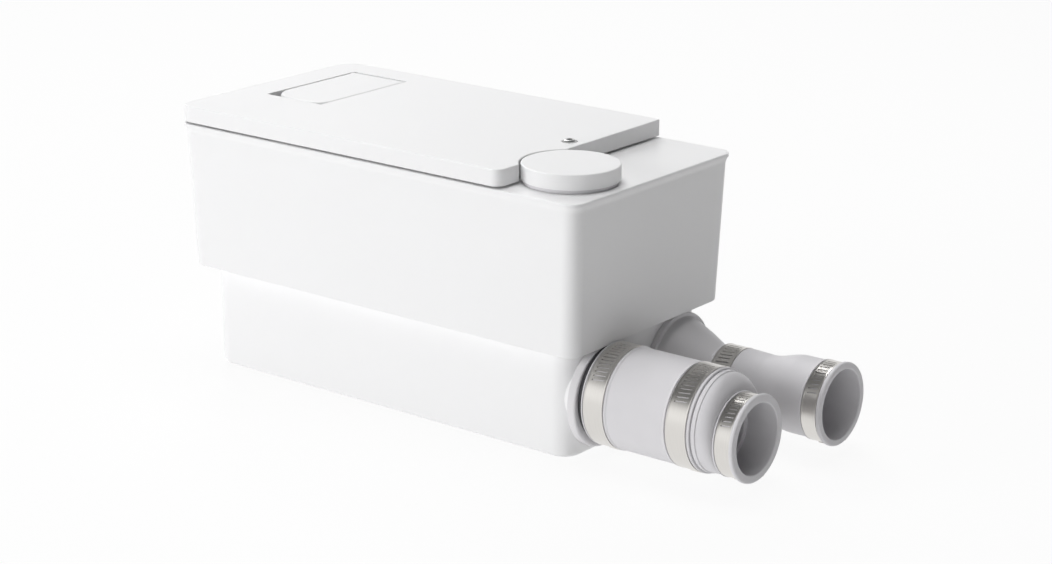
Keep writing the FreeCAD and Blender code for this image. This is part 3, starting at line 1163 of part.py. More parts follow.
def make_shaft_seal():
    """The lip seal round the shaft in the pump cover."""
    return tube(PUMP_X, PUMP_Y, COVER_TOP, SEAL_SEAT_RADIUS, SHAFT_RADIUS + RUNNING_GAP, SHAFT_SEAL_HEIGHT)


def make_impeller():
    """A half-open impeller: shroud above, curved vanes below it and a hub on the shaft."""
    top = CHAMBER_TOP - IMPELLER_GAP
    bottom = CHAMBER_BOTTOM + IMPELLER_GAP
    shroud = rod(PUMP_X, PUMP_Y, top - IMPELLER_SHROUD, IMPELLER_RADIUS, IMPELLER_SHROUD)
    hub = rod(PUMP_X, PUMP_Y, bottom, IMPELLER_HUB, top - bottom)
    vanes = around_z(impeller_vane(bottom, top - IMPELLER_SHROUD), PUMP_X, PUMP_Y, VANE_COUNT)
    bore = rod(PUMP_X, PUMP_Y, bottom, SHAFT_RADIUS, top - bottom)
    return fused([shroud, hub] + vanes).cut(bore)


def impeller_vane(z0, z1):
    """One vane, a strip of a large ring that leaves the hub and leans back towards the rim."""
    centre_x = PUMP_X + VANE_ROOT + VANE_CURVE
    half_vane = VANE_THICKNESS / 2
    ring = tube(centre_x, PUMP_Y, z0, VANE_CURVE + half_vane, VANE_CURVE - half_vane, z1 - z0)
    disc = rod(PUMP_X, PUMP_Y, z0, IMPELLER_RADIUS - IMPELLER_GAP / 2, z1 - z0)
    half = block(PUMP_X - IMPELLER_RADIUS, PUMP_X + IMPELLER_RADIUS, PUMP_Y, PUMP_Y + IMPELLER_RADIUS, z0, z1)
    return ring.common(disc).common(half)


def make_discharge_pipe():
    """The pipe from the pump's outlet to the valve, with a socket over each joint."""
    outer = stub_radius()
    socket = outer + PIPE_SOCKET_WALL
    start = CASING_OUTLET_END
    half = PIPE_SOCKET / 2
    stations = [(start, OUTLET_RADIUS), (start, outer), (start - PIPE_SOCKET, outer),
                (start - PIPE_SOCKET, socket), (start + PIPE_SOCKET, socket), (start + PIPE_SOCKET, outer),
                (PIPE_END - half, outer), (PIPE_END - half, socket), (PIPE_END + half, socket),
                (PIPE_END + half, outer), (PIPE_END, outer), (PIPE_END, OUTLET_RADIUS)]
    return turned_on_x(stations, DISCHARGE_Y, DISCHARGE_Z)


def make_check_valve_body():
    """The chamber of the non-return valve, with its seat, and its stub through the tank's wall."""
    outer = stub_radius()
    inside = VALVE_RADIUS - VALVE_WALL
    seat_start = VALVE_SEAT_X - VALVE_SEAT
    end = TANK_END + VALVE_STUB_SEAT
    stations = [(PIPE_END, OUTLET_RADIUS), (PIPE_END, outer), (seat_start, outer), (seat_start, VALVE_RADIUS),
                (VALVE_END, VALVE_RADIUS), (VALVE_END, outer), (end, outer), (end, OUTLET_RADIUS),
                (VALVE_END - VALVE_WALL, OUTLET_RADIUS), (VALVE_END - VALVE_WALL, inside),
                (VALVE_SEAT_X, inside), (VALVE_SEAT_X, OUTLET_RADIUS)]
    body = turned_on_x(stations, DISCHARGE_Y, DISCHARGE_Z)
    half = CHECK_BARREL_LENGTH / 2 + EAR_GAP
    clear = CHECK_BARREL + BODY_GAP
    notch = block(CHECK_PIVOT_X - clear, VALVE_SEAT_X, DISCHARGE_Y - half, DISCHARGE_Y + half,
                  CHECK_PIVOT_Z - clear, DISCHARGE_Z + inside)
    return body.cut([notch, check_pin_rod()])


def check_pin_rod():
    """The hinge pin of the valve's flap, seated in the chamber's wall."""
    start = DISCHARGE_Y - CHECK_PIN_HALF
    return rod(CHECK_PIVOT_X, start, CHECK_PIVOT_Z, HINGE_PIN_RADIUS, 2 * CHECK_PIN_HALF, Y_AXIS)


def make_motor_shaft():
    """The shaft from the upper bearing down to the impeller."""
    bottom = CHAMBER_BOTTOM + IMPELLER_GAP
    return rod(PUMP_X, PUMP_Y, bottom, SHAFT_RADIUS, CAN_TOP - SHAFT_END_GAP - bottom)


def make_bearings():
    """Two ball bearings on the shaft, each drawn as its ring with the shield grooves."""
    rings = []
    for z in (LOWER_BEARING, UPPER_BEARING):
        ring = tube(PUMP_X, PUMP_Y, z, BEARING_RADIUS, SHAFT_RADIUS + RUNNING_GAP, BEARING_WIDTH)
        middle = (BEARING_RADIUS + SHAFT_RADIUS) / 2
        half = BEARING_GROOVE_WIDTH / 2
        for face in (z, z + BEARING_WIDTH - BEARING_GROOVE):
            ring = ring.cut(tube(PUMP_X, PUMP_Y, face, middle + half, middle - half, BEARING_GROOVE))
        rings.append(ring)
    return Part.makeCompound(rings)


def tie_rod_places():
    """Where the motor's four tie rods stand."""
    angles = [math.radians(a) for a in TIE_ROD_ANGLES]
    return [(PUMP_X + TIE_ROD_CIRCLE * math.cos(a), PUMP_Y + TIE_ROD_CIRCLE * math.sin(a)) for a in angles]


def make_motor_flange():
    """The motor's foot on the deck, with the housing of the lower bearing."""
    housing_top = LOWER_BEARING + BEARING_WIDTH
    stations = ((SHAFT_PASS, DECK_TOP), (MOTOR_FLANGE_RADIUS, DECK_TOP),
                (MOTOR_FLANGE_RADIUS, MOTOR_FLANGE_TOP), (BEARING_HOUSING, MOTOR_FLANGE_TOP),
                (BEARING_HOUSING, housing_top), (BEARING_RADIUS, housing_top),
                (BEARING_RADIUS, LOWER_BEARING), (SHAFT_PASS, LOWER_BEARING))
    body = turned_on_z(stations, PUMP_X, PUMP_Y)
    holes = [rod(x, y, DECK_TOP, TIE_ROD_RADIUS, MOTOR_FLANGE_THICKNESS) for x, y in tie_rod_places()]
    return body.cut(holes)


def make_motor_can():
    """The drawn steel can of the motor."""
    inner = MOTOR_CAN_RADIUS - MOTOR_CAN_WALL
    return tube(PUMP_X, PUMP_Y, MOTOR_FLANGE_TOP, MOTOR_CAN_RADIUS, inner, MOTOR_CAN_LENGTH)


def make_motor_end_bell():
    """The upper end bell with its bearing housing, tie-rod lugs and radial ribs."""
    stations = ((0, CAN_TOP), (BEARING_RADIUS, CAN_TOP), (BEARING_RADIUS, UPPER_BEARING),
                (BEARING_HOUSING, UPPER_BEARING), (BEARING_HOUSING, CAN_TOP), (MOTOR_CAN_RADIUS, CAN_TOP),
                (MOTOR_CAN_RADIUS, BELL_TOP - END_BELL_BEVEL_HEIGHT),
                (MOTOR_CAN_RADIUS - END_BELL_BEVEL, BELL_TOP), (0, BELL_TOP))
    bell = turned_on_z(stations, PUMP_X, PUMP_Y)
    lugs = [rod(x, y, CAN_TOP, TIE_ROD_LUG, END_BELL_THICKNESS) for x, y in tie_rod_places()]
    rib = block(PUMP_X + BEARING_HOUSING, PUMP_X + MOTOR_CAN_RADIUS - RIB_END_GAP, PUMP_Y - RIB_THICKNESS / 2,
                PUMP_Y + RIB_THICKNESS / 2, BELL_TOP, BELL_TOP + RIB_HEIGHT)
    holes = [rod(x, y, CAN_TOP, TIE_ROD_RADIUS, END_BELL_THICKNESS) for x, y in tie_rod_places()]
    return fused([bell] + lugs + around_z(rib, PUMP_X, PUMP_Y, RIB_COUNT)).cut(holes)


def make_tie_rods():
    """Four long screws that clamp the end bell and the can to the motor's foot."""
    rods = []
    for x, y in tie_rod_places():
        shank = rod(x, y, DECK_TOP, TIE_ROD_RADIUS, BELL_TOP - DECK_TOP)
        head = rod(x, y, BELL_TOP, TIE_ROD_HEAD, TIE_ROD_HEAD_HEIGHT)
        socket = hexagon(x, y, BELL_TOP + TIE_ROD_HEAD_HEIGHT / 2, TIE_ROD_HEAD, TIE_ROD_HEAD_HEIGHT / 2)
        rods.append(fused([shank, head]).cut(socket))
    return Part.makeCompound(rods)


def make_stator():
    """The stator's laminated ring."""
    return tube(PUMP_X, PUMP_Y, STATOR_BOTTOM, MOTOR_CAN_RADIUS - MOTOR_CAN_WALL, STATOR_BORE, STATOR_LENGTH)


def make_windings():
    """The winding heads above and below the stator."""
    heads = []
    for z in (STATOR_BOTTOM - WINDING_HEIGHT, STATOR_TOP):
        ring = tube(PUMP_X, PUMP_Y, z, WINDING_OUTER, WINDING_INNER, WINDING_HEIGHT)
        far_face = z if z < STATOR_BOTTOM else z + WINDING_HEIGHT
        heads.append(ring.makeFillet(WINDING_ROUND, edges_at_height(ring, far_face)))
    return Part.makeCompound(heads)


def make_rotor():
    """The rotor on the shaft."""
    return tube(PUMP_X, PUMP_Y, STATOR_BOTTOM, STATOR_BORE - ROTOR_GAP, SHAFT_RADIUS, STATOR_LENGTH)


def make_pressure_bell():
    """The bell that hangs in the tank and passes the trapped air's pressure up through its port."""
    port_top = DECK_TOP + BELL_PORT_RISE
    roof = DECK_BOTTOM - BELL_WALL
    inner = BELL_RADIUS - BELL_WALL
    stations = ((BELL_PORT_BORE, roof), (inner, roof), (inner, BELL_BOTTOM), (BELL_RADIUS, BELL_BOTTOM),
                (BELL_RADIUS, DECK_BOTTOM), (BELL_PORT_RADIUS, DECK_BOTTOM), (BELL_PORT_RADIUS, port_top),
                (BELL_PORT_BORE, port_top))
    return turned_on_z(stations, BELL_X, BELL_Y)


def make_pressure_switch():
    """The level switch on the bell's port, with its tabs."""
    base_top = DECK_TOP + SWITCH_BASE
    top = DECK_TOP + SWITCH_HEIGHT
    port_top = DECK_TOP + BELL_PORT_RISE
    stations = ((BELL_PORT_RADIUS, DECK_TOP), (SWITCH_RADIUS, DECK_TOP), (SWITCH_RADIUS, base_top),
                (SWITCH_TOP_RADIUS, base_top + SWITCH_SLOPE), (SWITCH_TOP_RADIUS, top - SWITCH_EDGE),
                (SWITCH_TOP_RADIUS - SWITCH_EDGE, top), (0, top), (0, port_top), (BELL_PORT_RADIUS, port_top))
    body = turned_on_z(stations, BELL_X, BELL_Y)
    thickness, width, height = TAB_SIZE
    radius = SWITCH_TOP_RADIUS / 2
    tab = block(BELL_X + radius - thickness / 2, BELL_X + radius + thickness / 2, BELL_Y - width / 2,
                BELL_Y + width / 2, top, top + height)
    return fused([body] + around_z(tab, BELL_X, BELL_Y, TAB_COUNT))


def make_board_rail():
    """The slotted rail that holds the control board upright on the deck."""
    top = DECK_TOP + RAIL_HEIGHT
    half = RAIL_WIDTH / 2
    reach = BOARD_LENGTH / 2 + RAIL_MARGIN
    rail = block(BOARD_X - half, BOARD_X + half, -reach, reach, DECK_TOP, top)
    long_edges = [e for e in edges_at_height(rail, top) if e.BoundBox.YLength > RAIL_WIDTH]
    return rail.makeChamfer(RAIL_MARGIN, long_edges).cut(standing_board(BOARD_BOTTOM, top))


def standing_board(z0, z1):
    """A slice of the control board's plane between two heights."""
    half = BOARD_THICKNESS / 2
    return block(BOARD_X - half, BOARD_X + half, -BOARD_LENGTH / 2, BOARD_LENGTH / 2, z0, z1)


def make_control_board():
    """The bare board, standing in its rail."""
    return standing_board(BOARD_BOTTOM, BOARD_BOTTOM + BOARD_HEIGHT)


def on_board(size, place):
    """A box on the board's inner face, placed by shares of the board's length and height."""
    depth, length, height = size
    face = BOARD_X + BOARD_THICKNESS / 2
    y = place[0] * BOARD_LENGTH
    z = BOARD_BOTTOM + place[1] * BOARD_HEIGHT
    box = block(face, face + depth, y - length / 2, y + length / 2, z - height / 2, z + height / 2)
    return box, face + depth / 2, y, z


def make_relay():
    """The relay that switches the motor."""
    body, middle, y, z = on_board(RELAY_SIZE, RELAY_PLACE)
    outer_edges = [e for e in body.Edges if e.BoundBox.XMin > middle]
    return body.makeChamfer(RELAY_EDGE, outer_edges)


def make_terminal_block():
    """The screw terminals, one hole for each wire."""
    body, middle, y, z = on_board(TERMINAL_SIZE, TERMINAL_PLACE)
    depth, length, height = TERMINAL_SIZE
    pitch = length / TERMINAL_WAYS
    first = y - (length - pitch) / 2
    holes = [rod(middle, first + way * pitch, z + height / 4, TERMINAL_HOLE, height / 4)
             for way in range(TERMINAL_WAYS)]
    return body.cut(holes)


def make_capacitor():
    """The motor capacitor with its crimped edge."""
    radius = CAPACITOR_RADIUS
    top = DECK_TOP + CAPACITOR_HEIGHT
    inner = radius - 2 * CRIMP_EDGE
    lid = top - CRIMP_DEPTH
    stations = ((0, DECK_TOP), (radius, DECK_TOP), (radius, top - CRIMP_EDGE), (radius - CRIMP_EDGE, top),
                (inner, top), (inner, lid), (0, lid))
    return turned_on_z(stations, CAPACITOR_X, CAPACITOR_Y)


def make_capacitor_clip():
    """The split ring and foot that hold the capacitor to the deck."""
    outer = CAPACITOR_RADIUS + CLIP_WALL
    ring = tube(CAPACITOR_X, CAPACITOR_Y, DECK_TOP, outer, CAPACITOR_RADIUS, CLIP_HEIGHT)
    split = block(CAPACITOR_X - CLIP_SPLIT / 2, CAPACITOR_X + CLIP_SPLIT / 2,
                  CAPACITOR_Y - outer, CAPACITOR_Y, DECK_TOP, DECK_TOP + CLIP_HEIGHT)
    foot = block(CAPACITOR_X, CAPACITOR_X + outer + CLIP_FOOT,
                 CAPACITOR_Y - CLIP_FOOT, CAPACITOR_Y + CLIP_FOOT, DECK_TOP, DECK_TOP + CLIP_WALL)
    foot = foot.cut(rod(CAPACITOR_X, CAPACITOR_Y, DECK_TOP, CAPACITOR_RADIUS, CLIP_WALL))
    return fused([ring.cut(split), foot])


def make_pieces():
    """Every piece of the station by name, about the middle of the housing."""
    pieces = {
        "tank": make_tank(),
        "feet": make_feet(),
        "tank_seal": make_tank_seal(),
        "deck_plate": make_deck_plate(),
        "deck_screws": make_deck_screws(),
        "hood": make_hood(),
        "cable_grommet": make_grommet(),
        "lid_seal": make_lid_seal(),
        "lid_insert": make_lid_insert(),
        "service_lid": make_service_lid(),
        "lid_flap": make_lid_flap(),
        "lid_flap_pin": flap_pin_rod(),
        "lid_screw": make_lid_screw(),
        "lid_screw_retainer": make_screw_retainer(),
        "filter_cap": make_filter_cap(),
        "neck_gasket": make_neck_gasket(),
        "filter_basket": make_filter_basket(),
        "carbon_filter": make_carbon_filter(),
        "filter_housing": make_filter_housing(),
        "inlet_collar": make_inlet_collar(),
        "inlet_sleeve": make_inlet_sleeve(),
        "inlet_reducer": make_inlet_reducer(),
        "inlet_flap": make_inlet_flap(),
        "discharge_nipple": make_discharge_nipple(),
        "discharge_sleeve": make_discharge_sleeve(),
        "pump_casing": make_pump_casing(),
        "pump_cover": make_pump_cover(),
        "intake_strainer": make_intake_strainer(),
        "impeller": make_impeller(),
        "shaft_seal": make_shaft_seal(),
        "discharge_pipe": make_discharge_pipe(),
        "check_valve_body": make_check_valve_body(),
        "check_flap": make_check_flap(),
        "valve_flap_pins": Part.makeCompound([inlet_flap_pin_rod(), check_pin_rod()]),
        "motor_shaft": make_motor_shaft(),
        "motor_bearings": make_bearings(),
        "motor_flange": make_motor_flange(),
        "motor_can": make_motor_can(),
        "motor_end_bell": make_motor_end_bell(),
        "motor_tie_rods": make_tie_rods(),
        "motor_stator": make_stator(),
        "motor_windings": make_windings(),
        "motor_rotor": make_rotor(),
        "pressure_bell": make_pressure_bell(),
        "pressure_switch": make_pressure_switch(),
        "board_rail": make_board_rail(),
        "control_board": make_control_board(),
        "board_components": Part.makeCompound([make_relay(), make_terminal_block()]),
        "start_capacitor": make_capacitor(),
        "capacitor_clip": make_capacitor_clip(),
    }
    for name, (middle, width, y, z, radius) in clamp_table().items():
        pieces[name + "_band"] = make_clamp_band(middle, width, y, z, radius)
        pieces[name + "_screw"] = make_clamp_screw(middle, y, z, radius)
    return pieces


def main():
    """Moves every piece to the unit's own frame and writes it."""
    os.makedirs("parts", exist_ok=True)
    for name, shape in make_pieces().items():
        shape.translate(FreeCAD.Vector(-CENTRE_X, 0, 0))
        shape.exportStep(os.path.join("parts", name + ".step"))


main()
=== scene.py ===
"""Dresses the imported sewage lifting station: finishes, fine forms, floor, light and camera."""

from __future__ import annotations

import json
import logging
import math
from abc import ABC, abstractmethod
from collections.abc import Mapping, Sequence
from dataclasses import dataclass
from enum import Enum
from typing import Any

import bmesh
import bpy
from mathutils import Matrix, Vector

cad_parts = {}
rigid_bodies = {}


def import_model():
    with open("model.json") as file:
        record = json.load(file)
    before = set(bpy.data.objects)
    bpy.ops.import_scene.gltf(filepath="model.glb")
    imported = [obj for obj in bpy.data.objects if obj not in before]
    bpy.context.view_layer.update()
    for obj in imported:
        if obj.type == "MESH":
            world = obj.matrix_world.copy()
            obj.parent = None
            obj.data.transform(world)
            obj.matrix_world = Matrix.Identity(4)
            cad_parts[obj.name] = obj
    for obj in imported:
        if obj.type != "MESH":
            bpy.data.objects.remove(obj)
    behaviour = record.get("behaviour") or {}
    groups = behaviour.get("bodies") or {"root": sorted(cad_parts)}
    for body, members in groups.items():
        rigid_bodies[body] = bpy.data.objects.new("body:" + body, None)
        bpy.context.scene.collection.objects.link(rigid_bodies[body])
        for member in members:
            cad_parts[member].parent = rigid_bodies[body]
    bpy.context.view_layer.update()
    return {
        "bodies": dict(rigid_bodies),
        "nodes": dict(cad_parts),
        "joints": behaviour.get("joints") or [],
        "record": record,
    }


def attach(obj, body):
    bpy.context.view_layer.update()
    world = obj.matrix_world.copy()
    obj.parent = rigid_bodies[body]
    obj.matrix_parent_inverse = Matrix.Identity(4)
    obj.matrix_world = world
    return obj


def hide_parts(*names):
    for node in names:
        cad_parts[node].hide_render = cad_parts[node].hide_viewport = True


LOG = logging.getLogger("lifting_station")
Mesh = bpy.types.Mesh
Span = tuple[float, float]
Triple = tuple[float, float, float]
Sockets = dict[str | int, Any]

# The housing is drawn about its own middle, which stands this far along the part's X axis.
HOUSING_SHIFT_MM = 50.25
# Faces that meet at less than the first angle shade as one; at less than the second they are one face.
SMOOTH_ANGLE = math.radians(32)
FLAT_ANGLE = math.radians(0.6)
FULL_TURN = 2 * math.pi


def metres(length: float) -> float:
    """A length in millimetres as metres."""
    return length / 1000


def place(x: float, y: float, z: float) -> Vector:
    """A point of the housing, given in millimetres from its middle, as the part's own metres."""
    return Vector((metres(x - HOUSING_SHIFT_MM), metres(y), metres(z)))


# Node trees of the finishes and of the repeated forms.


class Wire:
    """A node socket that takes part in Python arithmetic; each operator adds one Math node."""

    def __init__(self, graph: Graph, socket: bpy.types.NodeSocket) -> None:
        """Keeps the socket and the graph it belongs to."""
        self.graph = graph
        self.socket = socket

    def __add__(self, other: Any) -> Wire:
        """The sum."""
        return self.graph.maths("ADD", self, other)

    __radd__ = __add__

    def __sub__(self, other: Any) -> Wire:
        """The difference."""
        return self.graph.maths("SUBTRACT", self, other)

    def __rsub__(self, other: Any) -> Wire:
        """The difference, this socket taken away."""
        return self.graph.maths("SUBTRACT", other, self)

    def __mul__(self, other: Any) -> Wire:
        """The product."""
        return self.graph.maths("MULTIPLY", self, other)

    def __truediv__(self, other: Any) -> Wire:
        """The quotient."""
        return self.graph.maths("DIVIDE", self, other)


class Graph:
    """One node tree, of a finish or of a Geometry Nodes form."""

    def __init__(self, tree: bpy.types.NodeTree) -> None:
        """Starts from the tree, emptied."""
        self.tree = tree
        tree.nodes.clear()

    def node(self, kind: str, settings: Mapping[str, Any] | None = None,
             sockets: Mapping[str | int, Any] | None = None) -> bpy.types.Node:
        """Adds a node.

        Args:
            kind: the node's type.
            settings: its properties, set before its sockets; "stops" fills a colour ramp.
            sockets: values or wires for its inputs, by name or number; a list fills one input twice.

        Returns:
            The node.
        """
        made = self.tree.nodes.new(kind)
        for name, value in (settings or {}).items():
            if name == "stops":
                self._fill_ramp(made.color_ramp, value)
            else:
                setattr(made, name, value)
        for name, value in (sockets or {}).items():
            for part in value if isinstance(value, list) else [value]:
                if isinstance(part, Wire):
                    self.tree.links.new(part.socket, made.inputs[name])
                else:
                    made.inputs[name].default_value = part
        return made

    @staticmethod
    def _fill_ramp(ramp: bpy.types.ColorRamp, stops: Sequence[Span]) -> None:
        """Fills a ramp with grey stops.

        Args:
            ramp: the ramp.
            stops: the place and the grey of each stop.
        """
        while len(ramp.elements) < len(stops):
            ramp.elements.new(1.0)
        for element, (where, grey) in zip(ramp.elements, stops):
            element.position = where
            element.color = (grey, grey, grey, 1)

    def wire(self, kind: str, settings: Mapping[str, Any] | None = None,
             sockets: Mapping[str | int, Any] | None = None, output: str | int = 0) -> Wire:
        """Adds a node as node() does and returns one of its outputs, the first if none is named."""
        return Wire(self, self.node(kind, settings, sockets).outputs[output])

    def maths(self, operation: str, *values: Any) -> Wire:
        """Adds a Math node that takes these numbers or wires in order."""
        return self.wire("ShaderNodeMath", {"operation": operation}, dict(enumerate(values)))


class Shader(Graph):
    """The node tree of a finish, with the patterns that the finishes share."""

    def here(self, stretch: Triple = (1, 1, 1), origin: Triple = (0, 0, 0)) -> Wire:
        """Object coordinates about an origin, stretched along the axes.

        Args:
            stretch: the scale along X, Y and Z.
            origin: the point that becomes zero, in metres.

        Returns:
            The coordinates.
        """
        start = self.wire("ShaderNodeTexCoord", output="Object")
        moved = self.wire("ShaderNodeVectorMath", {"operation": "SUBTRACT"}, {0: start, 1: origin})
        return self.wire("ShaderNodeVectorMath", {"operation": "MULTIPLY"}, {0: moved, 1: stretch})

    def noise(self, size: float, detail: float = 2.0, where: Wire | None = None) -> Wire:
        """Cloudy noise between 0 and 1, whose features measure about size, in metres."""
        return self.wire("ShaderNodeTexNoise", {"noise_dimensions": "3D"},
                         {"Vector": where or self.here(), "Scale": 1 / size, "Detail": detail,
                          "Roughness": 0.55})

    def cells(self, size: float) -> Wire:
        """The distance to the nearest of many scattered points, size apart, in metres."""
        return self.wire("ShaderNodeTexVoronoi", {"feature": "F1"},
                         {"Vector": self.here(), "Scale": 1 / size}, "Distance")

    def grey(self, colour: Wire) -> Wire:
        """The value of a grey colour."""
        return self.wire("ShaderNodeSeparateColor", None, {0: colour})

    def mix(self, share: Any, first: Any, second: Any) -> Wire:
        """A colour between two, by a share."""
        sockets = {0: share, 6: self._solid(first), 7: self._solid(second)}
        return self.wire("ShaderNodeMix", {"data_type": "RGBA"}, sockets, 2)

    @staticmethod
    def _solid(colour: Any) -> Any:
        """A colour with its fourth value, or the wire as it is."""
        return colour if isinstance(colour, Wire) else (*colour, 1.0)

    def bump(self, height: Wire, depth: float, under: Wire | None = None) -> Wire:
        """A relief laid over another one where that is given.

        Args:
            height: the relief's pattern.
            depth: its depth, in metres.
            under: the relief below it.

        Returns:
            The normal.
        """
        sockets: Sockets = {"Strength": 1.0, "Distance": depth, "Height": height}
        if under:
            sockets["Normal"] = under
        return self.wire("ShaderNodeBump", None, sockets)

    def rays(self) -> tuple[Wire, Wire]:
        """Which rays ask for light.

        Returns:
            Whether the ray comes straight from the camera or through glass, and whether from gloss.
        """
        path = self.node("ShaderNodeLightPath").outputs
        seen, clear, mirrored = (Wire(self, path[f"Is {kind} Ray"])
                                 for kind in ("Camera", "Transmission", "Glossy"))
        return self.maths("MAXIMUM", seen, clear), mirrored


class Form(Graph):
    """A Geometry Nodes tree that works on a base mesh, with named inputs."""

    def __init__(self, name: str, inputs: Mapping[str, Any]) -> None:
        """Makes the tree.

        Args:
            name: its name.
            inputs: the value of each named input, whose kind follows from it.
        """
        super().__init__(bpy.data.node_groups.new(name, "GeometryNodeTree"))
        kinds = {int: "NodeSocketInt", float: "NodeSocketFloat", tuple: "NodeSocketVector",
                 bpy.types.Object: "NodeSocketObject"}
        face = self.tree.interface
        face.new_socket("Geometry", in_out="INPUT", socket_type="NodeSocketGeometry")
        self.inputs = {}
        for title, value in inputs.items():
            socket = face.new_socket(title, in_out="INPUT", socket_type=kinds[type(value)])
            self.inputs[socket.identifier] = value
        face.new_socket("Geometry", in_out="OUTPUT", socket_type="NodeSocketGeometry")
        self.entry = self.node("NodeGroupInput")

    def value(self, title: str) -> Wire:
        """One of the tree's inputs."""
        return Wire(self, self.entry.outputs[title])

    def vector(self, x: Any = 0.0, y: Any = 0.0, z: Any = 0.0) -> Wire:
        """A vector from three numbers or wires."""
        return self.wire("ShaderNodeCombineXYZ", None, {0: x, 1: y, 2: z})

    def close(self, geometry: Wire, slot: Slot) -> Form:
        """Ends the tree: instances become real and take a finish.

        Args:
            geometry: what the tree has made.
            slot: the slot of the finish.

        Returns:
            The tree itself.
        """
        real = self.wire("GeometryNodeRealizeInstances", None, {"Geometry": geometry})
        dressed = self.wire("GeometryNodeSetMaterial", None,
                            {"Geometry": real, "Material": slot.value.material()})
        self.node("NodeGroupOutput", None, {"Geometry": dressed})
        return self

    def grown(self, base: Mesh) -> Mesh:
        """Runs the tree on a base mesh.

        Args:
            base: the mesh that the tree starts from.

        Returns:
            The plain mesh that comes out.
        """
        holder = linked("holder", base)
        modifier = holder.modifiers.new("form", "NODES")
        modifier.node_group = self.tree
        for identifier, value in self.inputs.items():
            modifier[identifier] = value
        return baked(holder)

    def worked(self, mesh: Mesh, home: Matrix) -> Mesh:
        """Runs the tree on a mesh that stands somewhere else.

        Args:
            mesh: the mesh, where it stands.
            home: the place and turn there of the tree's own origin.

        Returns:
            The result, where the mesh stood.
        """
        mesh.transform(home.inverted())
        result = self.grown(mesh)
        result.transform(home)
        return result


def linked(name: str, data: bpy.types.ID) -> bpy.types.Object:
    """Makes an object and puts it in the scene.

    Args:
        name: its name.
        data: its mesh, lamp or camera.

    Returns:
        The object.
    """
    made = bpy.data.objects.new(name, data)
    bpy.context.scene.collection.objects.link(made)
    return made


def baked(holder: bpy.types.Object) -> Mesh:
    """Turns an object with its modifiers into a plain mesh and removes the object.

    Args:
        holder: the object.

    Returns:
        The mesh.
    """
    bpy.context.view_layer.update()
    evaluated = holder.evaluated_get(bpy.context.evaluated_depsgraph_get())
    result = bpy.data.meshes.new_from_object(evaluated)
    bpy.data.objects.remove(holder)
    return result


def applied(mesh: Mesh, kind: str, **settings: Any) -> Mesh:
    """Applies one modifier to a mesh.

    Args:
        mesh: the mesh to work on.
        kind: the modifier's type.
        settings: the modifier's settings.

    Returns:
        The mesh with the modifier applied.
    """
    holder = linked("holder", mesh)
    modifier = holder.modifiers.new(kind.lower(), kind)
    for name, value in settings.items():
        setattr(modifier, name, value)
    return baked(holder)


# Finishes, one class for each kind of surface. Their lengths are in metres.


def tint(colour: Triple, factor: float) -> Triple:
    """The colour made lighter or darker by a factor."""
    return tuple(min(1.0, part * factor) for part in colour)


@dataclass(frozen=True)
class Finish(ABC):
    """What every finish has.

    Its tone is the factor that its pattern takes the colour to, and its spread is how far the pattern
    varies the roughness.
    """

    name: str
    colour: Triple
    roughness: float
    tone: float = 1.0
    spread: float = 0.1

    @abstractmethod
    def sockets(self, shader: Shader) -> Sockets:
        """Draws the finish's patterns.

        Args:
            shader: the tree that the pattern nodes go into.

        Returns:
            Values or wires for the Principled shader, by socket name.
        """

    def toned(self, shader: Shader, share: Any) -> Wire:
        """The colour where the share is full, and its tone where there is none."""
        return shader.mix(share, tint(self.colour, self.tone), self.colour)

    def rough(self, share: Wire) -> Wire:
        """The roughness, varied by a share over the spread about its middle."""
        return self.roughness - self.spread / 2 + share * self.spread

    def material(self) -> bpy.types.Material:
        """The finish as a material.

        Returns:
            The material, made at the first call.
        """
        title = "finish_" + self.name
        known = bpy.data.materials.get(title)
        if known:
            return known
        made = bpy.data.materials.new(title)
        made.use_nodes = True
        shader = Shader(made.node_tree)
        surface = shader.wire("ShaderNodeBsdfPrincipled", None, self.sockets(shader))
        shader.node("ShaderNodeOutputMaterial", None, {"Surface": surface})
        return made


@dataclass(frozen=True)
class MouldedPlastic(Finish):
    """Injection-moulded plastic: faint clouding, fine spark-eroded grain and a soft gloss."""

    tone: float = 0.985
    spread: float = 0.08
    cloud: float = 0.06
    grain: float = 0.0009
    grain_depth: float = 0.000006

    def sockets(self, shader: Shader) -> Sockets:
        """Clouds the colour and the gloss a little and lays the grain over the surface.

        Args:
            shader: the tree that the pattern nodes go into.

        Returns:
            The Principled shader's values or wires by socket name.
        """
        cloud = shader.noise(self.cloud)
        grain = shader.noise(self.grain, detail=3.0)
        return {"Base Color": self.toned(shader, cloud), "Roughness": self.rough(cloud),
                "IOR": 1.5, "Normal": shader.bump(grain, self.grain_depth)}


@dataclass(frozen=True)
class SatinRubber(Finish):
    """Moulded rubber: a pale uneven bloom, a velvety skin and soft unevenness."""

    tone: float = 0.93
    patch: float = 0.022
    wave: float = 0.009
    wave_depth: float = 0.00004
    grain: float = 0.0007
    grain_depth: float = 0.00001

    def sockets(self, shader: Shader) -> Sockets:
        """Lays the bloom over the colour and presses fine grain and slow waves into the skin.

        Args:
            shader: the tree that the pattern nodes go into.

        Returns:
            The Principled shader's values or wires by socket name.
        """
        bloom = shader.noise(self.patch, detail=3.0)
        wave = shader.bump(shader.noise(self.wave, detail=1.0), self.wave_depth)
        grain = shader.bump(shader.noise(self.grain, detail=3.0), self.grain_depth, wave)
        return {"Base Color": self.toned(shader, bloom), "Roughness": self.rough(bloom),
                "Normal": grain, "Sheen Weight": 0.08}


